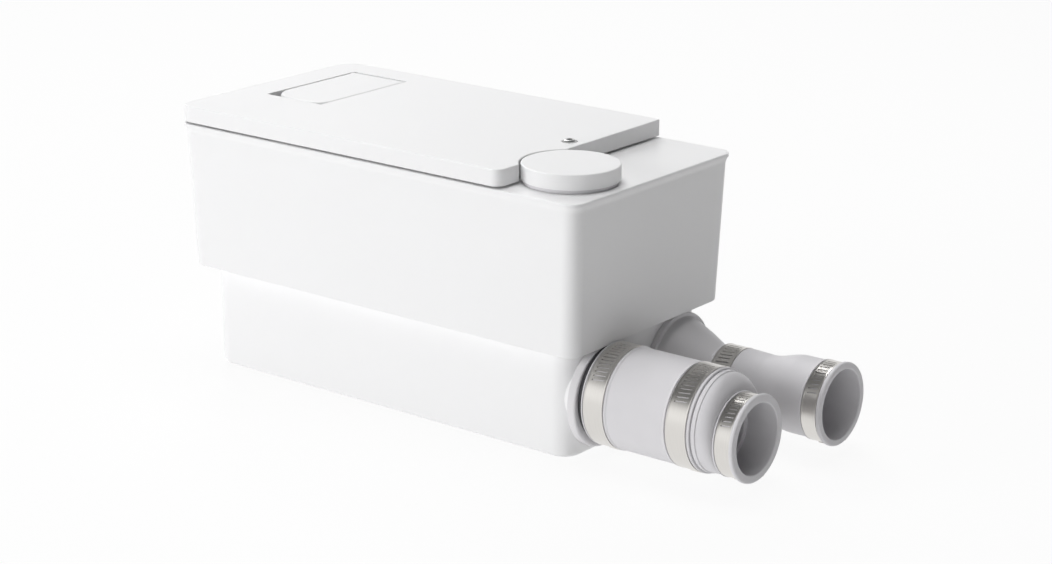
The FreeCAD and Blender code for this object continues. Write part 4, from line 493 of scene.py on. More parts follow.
@dataclass(frozen=True)
class RolledBand(Finish):
    """Stainless strip: fine lines along the strip, a warm tone and slightly duller patches."""

    tone: float = 0.86
    line: float = 0.00035
    run: float = 0.03
    line_depth: float = 0.000004
    patch: float = 0.008
    dulling: float = 0.1
    polish: float = 0.03

    def sockets(self, shader: Shader) -> Sockets:
        """Draws the rolling lines along the strip's own map.

        Args:
            shader: the tree that the pattern nodes go into.

        Returns:
            The Principled shader's values or wires by socket name.
        """
        chart = shader.wire("ShaderNodeUVMap", {"uv_map": BAND_MAP})
        drawn = shader.wire("ShaderNodeVectorMath", {"operation": "MULTIPLY"},
                            {0: chart, 1: (1 / self.line, 1 / self.run, 1)})
        lines = shader.wire("ShaderNodeTexNoise", {"noise_dimensions": "2D"},
                            {"Vector": drawn, "Scale": 1.0, "Detail": 3.0})
        patches = shader.noise(self.patch, detail=3.0)
        return {"Base Color": self.toned(shader, lines), "Metallic": 1.0,
                "Roughness": self.rough(lines) + patches * self.dulling - self.polish,
                "Normal": shader.bump(lines, self.line_depth)}


@dataclass(frozen=True)
class Steel(Finish):
    """Turned or drawn steel: fine tool lines across one axis and a little soil."""

    tone: float = 0.9
    spread: float = 0.12
    stretch: Triple = (1.0, 1.0, 12.0)
    line: float = 0.002
    line_depth: float = 0.000005
    soil: float = 0.01
    dulling: float = 0.04

    def sockets(self, shader: Shader) -> Sockets:
        """Lays tool lines across the axis and varies the gloss.

        Args:
            shader: the tree that the pattern nodes go into.

        Returns:
            The Principled shader's values or wires by socket name.
        """
        lines = shader.noise(self.line, detail=3.0, where=shader.here(self.stretch))
        soil = shader.noise(self.soil)
        return {"Base Color": self.toned(shader, soil), "Metallic": 1.0,
                "Roughness": self.rough(lines) + soil * self.dulling,
                "Normal": shader.bump(lines, self.line_depth)}


@dataclass(frozen=True)
class CastMetal(Finish):
    """Die-cast and blasted metal: a sandy skin with slow unevenness."""

    tone: float = 0.82
    spread: float = 0.14
    sand: float = 0.0008
    sand_depth: float = 0.00003
    wave: float = 0.012
    wave_depth: float = 0.00012

    def sockets(self, shader: Shader) -> Sockets:
        """Lays the sandy skin over slow waves.

        Args:
            shader: the tree that the pattern nodes go into.

        Returns:
            The Principled shader's values or wires by socket name.
        """
        waves = shader.bump(shader.noise(self.wave), self.wave_depth)
        sand = shader.noise(self.sand, detail=4.0)
        return {"Base Color": self.toned(shader, sand), "Metallic": 1.0,
                "Roughness": self.rough(sand), "Normal": shader.bump(sand, self.sand_depth, waves)}


@dataclass(frozen=True)
class StovedPaint(Finish):
    """Stoved paint on drawn steel, with a slight orange peel."""

    tone: float = 0.85
    spread: float = 0.12
    peel: float = 0.0024
    peel_depth: float = 0.00003
    cloud: float = 0.03
    coat: float = 0.2

    def sockets(self, shader: Shader) -> Sockets:
        """Lays the peel over the paint and dulls it in patches.

        Args:
            shader: the tree that the pattern nodes go into.

        Returns:
            The Principled shader's values or wires by socket name.
        """
        peel = shader.cells(self.peel)
        cloud = shader.noise(self.cloud)
        return {"Base Color": self.toned(shader, cloud), "Roughness": self.rough(cloud),
                "Coat Weight": self.coat, "Normal": shader.bump(peel, self.peel_depth)}


@dataclass(frozen=True)
class StackedSheets(Finish):
    """A stack of thin steel sheets, seen as fine level lines."""

    tone: float = 0.6
    sheet: float = 0.0005
    line_depth: float = 0.00004
    # A wave texture's scale is this over the length of its wave.
    wave_scale: float = 0.314

    def sockets(self, shader: Shader) -> Sockets:
        """Draws one dark line for each sheet up the stack.

        Args:
            shader: the tree that the pattern nodes go into.

        Returns:
            The Principled shader's values or wires by socket name.
        """
        wave = shader.wire("ShaderNodeTexWave", {"bands_direction": "Z", "wave_profile": "SIN"},
                           {"Vector": shader.here(), "Scale": self.wave_scale / self.sheet,
                            "Distortion": 0.4})
        lines = shader.grey(wave)
        return {"Base Color": self.toned(shader, lines), "Metallic": 1.0,
                "Roughness": self.roughness + lines * self.spread,
                "Normal": shader.bump(lines, self.line_depth)}


@dataclass(frozen=True)
class WoundWire(Finish):
    """Rings of enamelled wire wound about a vertical axis, with painted shade in the grooves between the
    wires.
    """

    # The painted shade in the grooves between the wires takes the colour down to this tone.
    tone: float = 0.45
    axis: Triple = (0, 0, 0)
    wire: float = 0.0009
    wire_depth: float = 0.0002
    coat: float = 0.4

    def sockets(self, shader: Shader) -> Sockets:
        """Draws round wires side by side, out from the axis and up, and paints shade into the grooves between
        them.

        Args:
            shader: the tree that the pattern nodes go into.

        Returns:
            The Principled shader's values or wires by socket name.
        """
        where = shader.node("ShaderNodeSeparateXYZ", None, {0: shader.here(origin=self.axis)})
        x, y, z = (Wire(shader, output) for output in where.outputs)
        out = shader.maths("SQRT", x * x + y * y)
        height = shader.maths("SINE", (out + z) * (FULL_TURN / self.wire)) * 0.5 + 0.5
        # Painted shade: the colour darkens with the wire's height towards the grooves between the wires.
        return {"Base Color": self.toned(shader, height), "Metallic": 0.7, "Coat Weight": self.coat,
                "Roughness": self.roughness + height * self.spread,
                "Normal": shader.bump(height, self.wire_depth)}


@dataclass(frozen=True)
class Granulate(Finish):
    """Pressed grains, with painted shade in the hollows between them and a painted highlight on each crest.
    """

    # The hollows' painted shade takes the colour down to this tone, and the crests' painted highlight raises
    # it by the factor below.
    tone: float = 0.3
    crest_highlight: float = 2.0
    grain: float = 0.0022
    grain_depth: float = 0.0009

    def sockets(self, shader: Shader) -> Sockets:
        """Raises a grain round each scattered point, paints a highlight on its crest and paints shade into
        the hollows.

        Args:
            shader: the tree that the pattern nodes go into.

        Returns:
            The Principled shader's values or wires by socket name.
        """
        lit = 1 - shader.cells(self.grain)
        # Painted highlight on the crests and painted shade in the hollows, both following the grains' height.
        return {"Base Color": shader.mix(lit, tint(self.colour, self.tone), tint(self.colour, self.crest_highlight)),
                "Roughness": self.roughness, "Normal": shader.bump(lit, self.grain_depth)}


@dataclass(frozen=True)
class SolderMask(Finish):
    """A green circuit board, its copper tracks showing as paler raised lines."""

    tone: float = 1.7
    spread: float = 0.08
    track: float = 0.004
    track_depth: float = 0.00005
    track_stops: tuple[Span, ...] = ((0.0, 1.0), (0.09, 1.0), (0.13, 0.0))
    cloud: float = 0.01
    coat: float = 0.5

    def sockets(self, shader: Shader) -> Sockets:
        """Draws a net of tracks between scattered points.

        Args:
            shader: the tree that the pattern nodes go into.

        Returns:
            The Principled shader's values or wires by socket name.
        """
        edge = shader.wire("ShaderNodeTexVoronoi", {"feature": "DISTANCE_TO_EDGE"},
                           {"Vector": shader.here(), "Scale": 1 / self.track, "Randomness": 0.35}, "Distance")
        tracks = shader.wire("ShaderNodeValToRGB", {"stops": self.track_stops}, {"Fac": edge})
        return {"Base Color": shader.mix(tracks, self.colour, tint(self.colour, self.tone)),
                "Roughness": self.roughness + shader.noise(self.cloud) * self.spread,
                "Coat Weight": self.coat, "Normal": shader.bump(shader.grey(tracks), self.track_depth)}


BAND_MAP = "strip"
MOTOR_AXIS = tuple(place(-20.0, 8.0, 0.0))


class Slot(Enum):
    """The record's material slots with the finish of each."""

    COVER_WHITE = MouldedPlastic("cover_white", (0.86, 0.86, 0.865), 0.34)
    TANK_WHITE = MouldedPlastic("tank_white", (0.89, 0.89, 0.895), 0.36)
    COUPLING_RUBBER = SatinRubber("coupling_rubber", (0.7, 0.69, 0.71), 0.5)
    COUPLING_PLASTIC = MouldedPlastic("coupling_plastic", (0.75, 0.74, 0.755), 0.44, tone=0.95)
    BAND_STEEL = RolledBand("band_steel", (0.74, 0.72, 0.69), 0.3)
    SCREW_STEEL = Steel("screw_steel", (0.66, 0.66, 0.66), 0.28)
    SHAFT_STEEL = Steel("shaft_steel", (0.62, 0.62, 0.63), 0.22)
    DARK_RUBBER = SatinRubber("dark_rubber", (0.035, 0.035, 0.04), 0.62, tone=0.7)
    GREY_PLASTIC = MouldedPlastic("grey_plastic", (0.3, 0.31, 0.32), 0.5, tone=0.9)
    PUMP_PLASTIC = MouldedPlastic("pump_plastic", (0.06, 0.06, 0.068), 0.6, tone=0.75,
                                  grain_depth=0.00003)
    SWITCH_PLASTIC = MouldedPlastic("switch_plastic", (0.05, 0.05, 0.055), 0.36, tone=0.85)
    MOTOR_PAINT = StovedPaint("motor_paint", (0.07, 0.075, 0.09), 0.36)
    CAST_ALUMINIUM = CastMetal("cast_aluminium", (0.6, 0.61, 0.62), 0.48)
    LAMINATION = StackedSheets("lamination", (0.34, 0.34, 0.36), 0.4)
    COPPER = WoundWire("copper", (0.62, 0.27, 0.11), 0.3, axis=MOTOR_AXIS)
    BRASS = Steel("brass", (0.75, 0.58, 0.27), 0.3)
    CARBON = Granulate("carbon", (0.03, 0.03, 0.032), 0.75)
    BOARD_GREEN = SolderMask("board_green", (0.02, 0.14, 0.06), 0.42)
    CAPACITOR_CAN = Steel("capacitor_can", (0.72, 0.73, 0.75), 0.34, stretch=(6.0, 6.0, 0.4))


SLOTS = {slot.value.name: slot for slot in Slot}


def dress_nodes(frame: Mapping[str, Any]) -> None:
    """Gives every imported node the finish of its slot.

    Args:
        frame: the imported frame.
    """
    parts = frame["record"]["subparts"]
    for part in parts:
        for holder in frame["nodes"][part["node"]].material_slots:
            holder.material = SLOTS[part["material_slot"]].value.material()
    LOG.info("dressed %d nodes", len(parts))


# Meshes and how they become pieces.


def finished(mesh: Mesh, name: str, slot: Slot, body: str, *stands_for: str) -> None:
    """Shades a mesh smooth, gives it its finish and hangs it on its body as a piece.

    Args:
        mesh: the mesh, in the part's frame.
        name: the piece's name.
        slot: the material slot it takes its finish from.
        body: the body it rides on.
        stands_for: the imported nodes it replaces.
    """
    mesh.shade_smooth()
    mesh.set_sharp_from_angle(angle=SMOOTH_ANGLE)
    mesh = applied(mesh, "WEIGHTED_NORMAL", keep_sharp=True)
    mesh.name = name
    mesh.materials.clear()
    mesh.materials.append(slot.value.material())
    piece = linked(name, mesh)
    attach(piece, body)
    if stands_for:
        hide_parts(*stands_for)
    LOG.info("%s: %d faces on %s", name, len(mesh.polygons), body)


def bevelled(mesh: Mesh, width: float, angle: float = SMOOTH_ANGLE) -> Mesh:
    """Eases the edges of a mesh; faces that meet at less than the angle keep their edge as it is."""
    return applied(mesh, "BEVEL", width=metres(width), segments=2, limit_method="ANGLE", angle_limit=angle)


def eased_copy(node: bpy.types.Object, edge: float) -> Mesh:
    """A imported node's shape with its triangles joined into faces and its sharp edges eased.

    Args:
        node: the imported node.
        edge: the width of the eased edge, in millimetres.

    Returns:
        The mesh.
    """
    shape = bmesh.new()
    shape.from_mesh(node.data)
    bmesh.ops.remove_doubles(shape, verts=shape.verts, dist=2e-6)
    bmesh.ops.dissolve_limit(shape, angle_limit=FLAT_ANGLE, verts=shape.verts, edges=shape.edges)
    return bevelled(kept(shape), edge)


def kept(shape: bmesh.types.BMesh) -> Mesh:
    """Keeps a shape as a mesh.

    Args:
        shape: the shape, freed here.

    Returns:
        The mesh.
    """
    mesh = bpy.data.meshes.new("shape")
    shape.to_mesh(mesh)
    shape.free()
    return mesh


def joined(*meshes: Mesh) -> Mesh:
    """Puts several meshes together.

    Args:
        meshes: the meshes.

    Returns:
        One mesh with all of them.
    """
    shape = bmesh.new()
    for mesh in meshes:
        shape.from_mesh(mesh)
    return kept(shape)


def lofted(rows: Sequence[Sequence[Vector]], looped: bool = False) -> Mesh:
    """A closed skin over rows of points that have the same number of points each.

    Args:
        rows: closed rings of points in metres, in order.
        looped: whether the last row joins the first; otherwise a face closes each end.

    Returns:
        The mesh, its normals outwards.
    """
    shape = bmesh.new()
    rings = [[shape.verts.new(point) for point in row] for row in rows]
    for first, second in zip(rings, rings[1:] + (rings[:1] if looped else [])):
        for step in range(len(first)):
            after = (step + 1) % len(first)
            shape.faces.new((first[step], first[after], second[after], second[step]))
    if not looped:
        shape.faces.new(rings[0])
        shape.faces.new(rings[-1])
    bmesh.ops.remove_doubles(shape, verts=shape.verts, dist=1e-7)
    bmesh.ops.recalc_face_normals(shape, faces=shape.faces)
    return kept(shape)


@dataclass(frozen=True)
class Corner:
    """A corner of a turned outline: its place along X, radius, rounding and lift off the axis, in mm."""

    x: float
    radius: float
    rounding: float = 0.0
    lift: float = 0.0

    @property
    def spot(self) -> Vector:
        """The corner as a vector of place, radius and lift."""
        return Vector((self.x, self.radius, self.lift))


def rounded(corners: Sequence[Corner], steps: int = 5) -> list[Vector]:
    """A closed outline with its corners rounded.

    Args:
        corners: the outline's corners in order.
        steps: how many pieces each rounding has.

    Returns:
        Points of place, radius and lift.
    """
    points = []
    for index, corner in enumerate(corners):
        here = corner.spot
        before = corners[index - 1].spot - here
        after = corners[(index + 1) % len(corners)].spot - here
        if corner.rounding <= 0:
            points.append(here)
            continue
        half = before.angle(after) / 2
        reach = min(corner.rounding / math.tan(half), before.length * 0.49, after.length * 0.49)
        start = here + before.normalized() * reach
        end = here + after.normalized() * reach
        for step in range(steps + 1):
            share = step / steps
            points.append(start * (1 - share) ** 2 + here * (2 * share * (1 - share)) + end * share ** 2)
    return points


def swell(start: Corner, end: Corner, steps: int = 10) -> list[Corner]:
    """The corners of a smooth S between two corners.

    Args:
        start: the corner before the S.
        end: the corner after it.
        steps: how many pieces the S has.

    Returns:
        The corners, both ends left out.
    """
    long, rise = end.x - start.x, end.radius - start.radius
    shares = [step / steps for step in range(1, steps)]
    return [Corner(start.x + long * share, start.radius + rise * share * share * (3 - 2 * share))
            for share in shares]


def turned(corners: Sequence[Corner], y: float, z: float, around: int = 128) -> Mesh:
    """A closed skin turned about an axis along X; the last corner joins the first.

    Args:
        corners: the outline's corners, in order round the wall.
        y: the axis's place, in millimetres.
        z: the axis's height, in millimetres.
        around: how many points each ring has.

    Returns:
        The mesh, its normals outwards.
    """
    turns = [FULL_TURN * step / around for step in range(around)]
    rows = [[place(x, y + radius * math.cos(turn), z + lift + radius * math.sin(turn)) for turn in turns]
            for x, radius, lift in rounded(corners)]
    return lofted(rows, looped=True)


def ring(x: float, y: float, z: float, radius: float, count: int, hexagonal: bool = False) -> list[Vector]:
    """A level ring of points about a vertical axis, in millimetres.

    Args:
        x: the axis's place along X.
        y: the axis's place along Y.
        z: the ring's height.
        radius: its radius, or half the size across the flats of a hexagon.
        count: how many points it has.
        hexagonal: whether it runs along a hexagon.

    Returns:
        The points, in the part's metres.
    """
    points = []
    sixth = math.pi / 3
    for step in range(count):
        turn = FULL_TURN * step / count
        off_flat = (turn + sixth / 2) % sixth - sixth / 2
        reach = radius / math.cos(off_flat) if hexagonal else radius
        points.append(place(x + reach * math.cos(turn), y + reach * math.sin(turn), z))
    return points


def round_post(x: float, y: float, stations: Sequence[Span], around: int = 32) -> Mesh:
    """A solid turned about a vertical axis, in millimetres.

    Args:
        x: the axis's place along X.
        y: the axis's place along Y.
        stations: (radius, height) from the bottom up; the ends are closed.
        around: how many points each ring has.

    Returns:
        The mesh.
    """
    return lofted([ring(x, y, z, max(radius, 0.02), around) for radius, z in stations])


# Forms that repeat or follow a rule, and the screws made with them.


def slot_form(name: str, slot: Slot, size: Triple, radius: float, columns: int = 1, first: float = 0.0,
              step: float = 0.0, rows: int = 1, row_step: float = 0.0, slant: float = 0.0) -> Form:
    """A tree that cuts rows of slots through a round wall about the X axis.

    Args:
        name: the tree's name.
        slot: the finish of the result.
        size: each slot's size along the axis, through the wall and round it, in millimetres.
        radius: the wall's radius, in millimetres.
        columns: how many slots each row has round the axis.
        first: the first slot's angle from +Y towards +Z, in radians.
        step: from slot to slot, in radians.
        rows: how many rows lie side by side along the axis.
        row_step: from row to row, in millimetres.
        slant: how far the slots are turned in the wall, in radians.

    Returns:
        The tree.
    """
    form = Form(name, {"Rows": rows, "Row Step": metres(row_step), "Columns": columns, "First Angle": first,
                       "Angle Step": step, "Radius": metres(radius), "Size": tuple(map(metres, size)),
                       "Slant": slant})
    index = form.wire("GeometryNodeInputIndex")
    row = form.maths("FLOOR", (index + 0.5) / form.value("Columns"))
    angle = form.value("First Angle") + (index - row * form.value("Columns")) * form.value("Angle Step")
    along = (row - (form.value("Rows") - 1) * 0.5) * form.value("Row Step")
    spot = form.vector(along, form.value("Radius") * form.maths("COSINE", angle),
                       form.value("Radius") * form.maths("SINE", angle))
    points = form.wire("GeometryNodePoints", None, {"Count": form.value("Rows") * form.value("Columns"),
                                                    "Position": spot})
    cube = form.wire("GeometryNodeMeshCube", None, {"Size": form.value("Size")})
    cutter = form.wire("GeometryNodeTransform", None,
                       {"Geometry": cube, "Rotation": form.vector(y=form.value("Slant"))})
    cutters = form.wire("GeometryNodeInstanceOnPoints", None,
                        {"Points": points, "Instance": cutter, "Rotation": form.vector(angle)})
    solid = form.wire("GeometryNodeRealizeInstances", None, {"Geometry": cutters})
    cut = form.wire("GeometryNodeMeshBoolean", {"operation": "DIFFERENCE", "solver": "EXACT"},
                    {"Mesh 1": form.value("Geometry"), "Mesh 2": solid})
    return form.close(cut, slot)


def thread_form(name: str, radius: float, depth: float, pitch: float, turns: float, foot: Vector) -> Form:
    """A tree that winds a thread round a vertical core of screw steel.

    Args:
        name: the tree's name.
        radius: the thread's outer radius, in millimetres.
        depth: the thread's depth, in millimetres.
        pitch: the rise of one turn, in millimetres.
        turns: how many turns the thread has.
        foot: the thread's lower end on the axis, in metres.

    Returns:
        The tree.
    """
    form = Form(name, {"Radius": metres(radius), "Depth": metres(depth), "Pitch": metres(pitch),
                       "Turns": turns, "Foot": tuple(foot)})
    middle = form.value("Radius") - form.value("Depth")
    helix = form.wire("GeometryNodeCurveSpiral", None,
                      {"Resolution": 28, "Rotations": form.value("Turns"), "Start Radius": middle,
                       "End Radius": middle, "Height": form.value("Pitch") * form.value("Turns")})
    upright = form.wire("GeometryNodeSetCurveNormal", {"mode": "Z_UP"}, {"Curve": helix})
    ridge = form.wire("GeometryNodeCurvePrimitiveCircle", None,
                      {"Resolution": 4, "Radius": form.value("Depth")})
    thread = form.wire("GeometryNodeCurveToMesh", None,
                       {"Curve": upright, "Profile Curve": ridge, "Fill Caps": True})
    raised = form.wire("GeometryNodeTransform", None,
                       {"Geometry": thread, "Translation": form.value("Foot")})
    whole = form.wire("GeometryNodeJoinGeometry", None, {"Geometry": [raised, form.value("Geometry")]})
    return form.close(whole, Slot.SCREW_STEEL)


def copied(pattern: Mesh, spots: Sequence[Vector], name: str) -> Mesh:
    """Sets a small steel mesh at several places with a tree that works on a cloud of points.

    Args:
        pattern: the mesh to repeat, about the origin, in metres.
        spots: where each copy's origin comes, in metres.
        name: the tree's name.

    Returns:
        One mesh with all the copies.
    """
    holder = bpy.data.objects.new("pattern", pattern)
    form = Form(name, {"Pattern": holder})
    points = form.wire("GeometryNodeMeshToPoints", None, {"Mesh": form.value("Geometry")})
    source = form.wire("GeometryNodeObjectInfo", {"transform_space": "ORIGINAL"},
                       {"Object": form.value("Pattern")}, "Geometry")
    copies = form.wire("GeometryNodeInstanceOnPoints", None, {"Points": points, "Instance": source})
    form.close(copies, Slot.SCREW_STEEL)
    cloud = bpy.data.meshes.new("cloud")
    cloud.from_pydata(spots, [], [])
    result = form.grown(cloud)
    bpy.data.objects.remove(holder)
    return result


def driving_slot(screw: Mesh, name: str, spot: Vector, size: Triple, radius: float) -> Mesh:
    """Cuts a driving slot along X into an upright screw's head.

    Args:
        screw: the screw.
        name: the tree's name.
        spot: the middle of the cut's frame, in metres.
        size: the slot's length, its depth and its width, in millimetres.
        radius: how far above the spot the slot's middle lies, in millimetres.

    Returns:
        The screw with its slot.
    """
    home = Matrix.Translation(spot) @ Matrix.Rotation(math.pi / 2, 4, "X")
    return slot_form(name, Slot.SCREW_STEEL, size, radius).worked(screw, home)


def socket_screw(x: float, y: float, foot: float, under: float, top: float, shank: float, head: float,
                 dome: float, flats: float) -> Mesh:
    """A screw with a rounded head and a hexagon socket, in millimetres.

    Args:
        x: the axis's place along X.
        y: the axis's place along Y.
        foot: the height of the shank's end.
        under: the height of the head's underside.
        top: the height of the head's top.
        shank: the shank's radius.
        head: the head's radius.
        dome: how much of the head's height its rounding takes.
        flats: the socket's size across the flats.

    Returns:
        The mesh.
    """
    round_points, steps = 36, 6
    tip, ease, rim, depth, cone = 0.5, 0.2, 0.15, 1.7, 0.4
    stations = [(shank * 0.8, foot, False), (shank, foot + tip, False), (shank, under, False),
                (head - ease, under, False), (head, under + ease, False)]
    crown = max(flats * 0.75, head - 1.6 * dome)
    for step in range(steps + 1):
        turn = math.pi / 2 * step / steps
        stations.append((head - (head - crown) * (1 - math.cos(turn)),
                         top - dome + dome * math.sin(turn), False))
    stations += [(flats / 2 + rim, top, True), (flats / 2, top - rim, True), (flats / 2, top - depth, True),
                 (0.3, top - depth - cone, False)]
    return lofted([ring(x, y, z, radius, round_points, hexagonal) for radius, z, hexagonal in stations])


# Sub-assemblies. Their sizes are in millimetres and their angles in degrees.


@dataclass
class EasedParts:
    """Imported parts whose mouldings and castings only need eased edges: node, edge and piece's ending."""

    frame: Mapping[str, Any]
    parts: tuple[tuple[str, float, str], ...]

    def build(self) -> None:
        """Builds each copy with the slot and the body of its node."""
        record = self.frame["record"]
        slots = {part["node"]: SLOTS[part["material_slot"]] for part in record["subparts"]}
        bodies = {node: body for body, held in record["behaviour"]["bodies"].items() for node in held}
        for name, edge, ending in self.parts:
            mesh = eased_copy(self.frame["nodes"][name], edge)
            finished(mesh, name + ending, slots[name], bodies[name], name)


@dataclass
class Housing(EasedParts):
    """The tank, the hood, the lid and what is set in the lid."""

    parts: tuple[tuple[str, float, str], ...] = (
        ("hood", 0.4, "_moulding"), ("service_lid", 0.35, "_moulding"), ("lid_flap", 0.35, "_moulding"),
        ("filter_cap", 0.35, "_moulding"), ("tank", 0.4, "_moulding"))


@dataclass
class Internals(EasedParts):
    """What shows from below, through the openings or with the lid off."""

    parts: tuple[tuple[str, float, str], ...] = tuple((name, edge, "_eased") for name, edge in (
        ("feet", 0.35), ("tank_seal", 0.2), ("deck_plate", 0.4), ("lid_seal", 0.5), ("neck_gasket", 0.3),
        ("filter_housing", 0.4), ("motor_flange", 0.5), ("motor_can", 0.4), ("motor_end_bell", 0.5),
        ("pressure_switch", 0.35), ("pressure_bell", 0.4), ("board_rail", 0.3), ("control_board", 0.15),
        ("board_components", 0.4), ("start_capacitor", 0.5), ("capacitor_clip", 0.2), ("lid_insert", 0.25),
        ("lid_screw_retainer", 0.2), ("pump_casing", 0.8), ("pump_cover", 0.5), ("intake_strainer", 0.4),
        ("discharge_pipe", 0.5), ("check_valve_body", 0.6), ("check_flap", 0.4), ("inlet_flap", 0.5),
        ("impeller", 0.4)))


@dataclass
class Coupling:
    """What both couplings have: an axis, a spigot on the tank and a socket for the pipe with a thick lip."""

    y: float
    z: float
    spigot_radius: float
    drop: float
    pipe_band: Span
    pipe_band_radius: float
    lip_radius: float
    end: float
    bore_radius: float
    tank_face: float = 137.1

    def mould(self, name: str, slot: Slot, corners: Sequence[Corner], *stands_for: str) -> None:
        """Turns an outline about the axis and hangs it on the station as a piece."""
        finished(turned(corners, self.y, self.z), name, slot, "station", *stands_for)

    def mouth(self) -> list[Corner]:
        """The seat of the pipe's band and the lip.

        Returns:
            The corners from the seat's start to the lip's inner edge.
        """
        left, right = self.pipe_band
        corners = ((left, self.pipe_band_radius, 0.2), (right, self.pipe_band_radius, 0.2),
                   (right + 0.2, self.lip_radius, 0.9), (self.end, self.lip_radius, 1.5),
                   (self.end, self.bore_radius, 0.9))
        return [Corner(*corner, self.drop) for corner in corners]


@dataclass
class InletCoupling(Coupling):
    """The collar, a dark ring that stands in for the shade in the gap behind it, the straight sleeve and the
    eccentric reducer of the drain inlet.
    """

    y: float = -35.5
    z: float = 36.8
    spigot_radius: float = 26.0
    drop: float = -4.8
    pipe_band: Span = (231.0, 240.6)
    pipe_band_radius: float = 23.0
    lip_radius: float = 25.0
    end: float = 243.5
    bore_radius: float = 20.2
    collar_end: float = 142.3
    collar_radius: float = 30.0
    collar_lift: float = -2.3
    # The dark ring that stands in for the shade in the gap between collar and sleeve reaches out this far.
    gap_shade_ring_radius: float = 27.4
    sleeve: Span = (146.3, 218.5)
    sleeve_radius: float = 29.3
    ridge_radius: float = 29.75
    end_ridge_radius: float = 29.7
    first_band: Span = (147.3, 161.5)
    second_band: Span = (202.4, 216.8)
    band_radius: float = 29.0
    plug_end: float = 190.0
    plug_bore: float = 22.5
    bead: Span = (218.65, 221.4)
    bead_radius: float = 28.75
    shoulder_start: float = 221.6
    shoulder_radius: float = 28.1
    shoulder_length: float = 8.0
    shoulder_fall: float = 4.8
    neck_radius: float = 24.1
    socket_end: float = 223.5
    throat_radius: float = 17.5

    def build(self) -> None:
        """Builds the four pieces."""
        self._collar()
        self._gap_shade_ring()
        self._sleeve()
        self._reducer()

    def _collar(self) -> None:
        """The loose collar, set a little lower than the spigot it sits on."""
        hole, outer = self.spigot_radius + 0.05, self.collar_radius
        corners = (Corner(self.tank_face, hole), Corner(self.tank_face, outer, 0.3, self.collar_lift),
                   Corner(self.collar_end, outer, 1.6, self.collar_lift), Corner(self.collar_end, hole, 0.5))
        self.mould("inlet_collar_moulding", Slot.COUPLING_PLASTIC, corners, "inlet_collar")

    def _gap_shade_ring(self) -> None:
        """A dark rubber ring on the spigot between the collar and the sleeve, which stands in for the shade
        in the gap there.
        """
        hole, outer = self.spigot_radius + 0.04, self.gap_shade_ring_radius
        left, right = self.collar_end + 0.1, self.sleeve[0] - 0.1
        corners = (Corner(left, hole, 0.2), Corner(left, outer, 0.8), Corner(right, outer, 0.8),
                   Corner(right, hole, 0.2))
        # Painted shade: a dark ring fills the gap between collar and sleeve, where shade falls.
        self.mould("inlet_seal_ring", Slot.DARK_RUBBER, corners)

    def _sleeve(self) -> None:
        """The straight sleeve with a ridge at each side of its two bands."""
        hole, body, seat = self.spigot_radius + 0.02, self.sleeve_radius, self.band_radius
        ridge, end_ridge = self.ridge_radius, self.end_ridge_radius
        start, end = self.sleeve
        left, right = self.first_band
        corners = [Corner(start, hole, 0.4), Corner(start, end_ridge, 0.35),
                   Corner(left - 0.2, end_ridge, 0.3), Corner(left, seat, 0.2), Corner(right, seat, 0.2),
                   Corner(right + 0.2, ridge, 0.35), Corner(right + 1.1, ridge, 0.5),
                   Corner(right + 2.1, body, 0.8)]
        left, right = self.second_band
        corners += [Corner(left - 1.8, body, 0.8), Corner(left - 0.9, ridge, 0.5),
                    Corner(left - 0.2, ridge, 0.35), Corner(left, seat, 0.2), Corner(right, seat, 0.2),
                    Corner(right + 0.2, end_ridge, 0.3), Corner(end, end_ridge, 0.7), Corner(end, hole, 0.4)]
        self.mould("inlet_sleeve_moulding", Slot.COUPLING_RUBBER, corners, "inlet_sleeve")

    def _reducer(self) -> None:
        """The plug in the sleeve, the bead, the domed shoulder and the pipe socket with its lip."""
        plug_radius = self.spigot_radius - 0.02
        left, right = self.bead
        corners = [Corner(self.plug_end, plug_radius), Corner(left, plug_radius),
                   Corner(left, self.bead_radius, 0.9), Corner(right, self.bead_radius, 1.1),
                   Corner(self.shoulder_start, self.shoulder_radius, 0.2)]
        steps = 8
        for step in range(1, steps + 1):
            turn = math.radians(90 * step / steps)
            share = 1 - math.cos(turn)
            corners.append(Corner(self.shoulder_start + self.shoulder_length * math.sin(turn),
                                  self.shoulder_radius - self.shoulder_fall * share, 0.0, self.drop * share))
        neck_start, neck_end = self.shoulder_start + self.shoulder_length + 0.3, self.pipe_band[0] - 0.2
        corners += [Corner(x, self.neck_radius, 0.4, self.drop) for x in (neck_start, neck_end)]
        corners += self.mouth()
        inner = ((self.socket_end, self.bore_radius, 0.3), (self.socket_end, self.throat_radius, 0.8),
                 (self.socket_end - 3.0, self.throat_radius, 0.0))
        corners += [Corner(*corner, self.drop) for corner in inner]
        corners += [Corner(self.socket_end - 4.0, self.plug_bore, 0.5),
                    Corner(self.plug_end, self.plug_bore, 0.4)]
        self.mould("inlet_reducer_moulding", Slot.COUPLING_RUBBER, corners, "inlet_reducer")


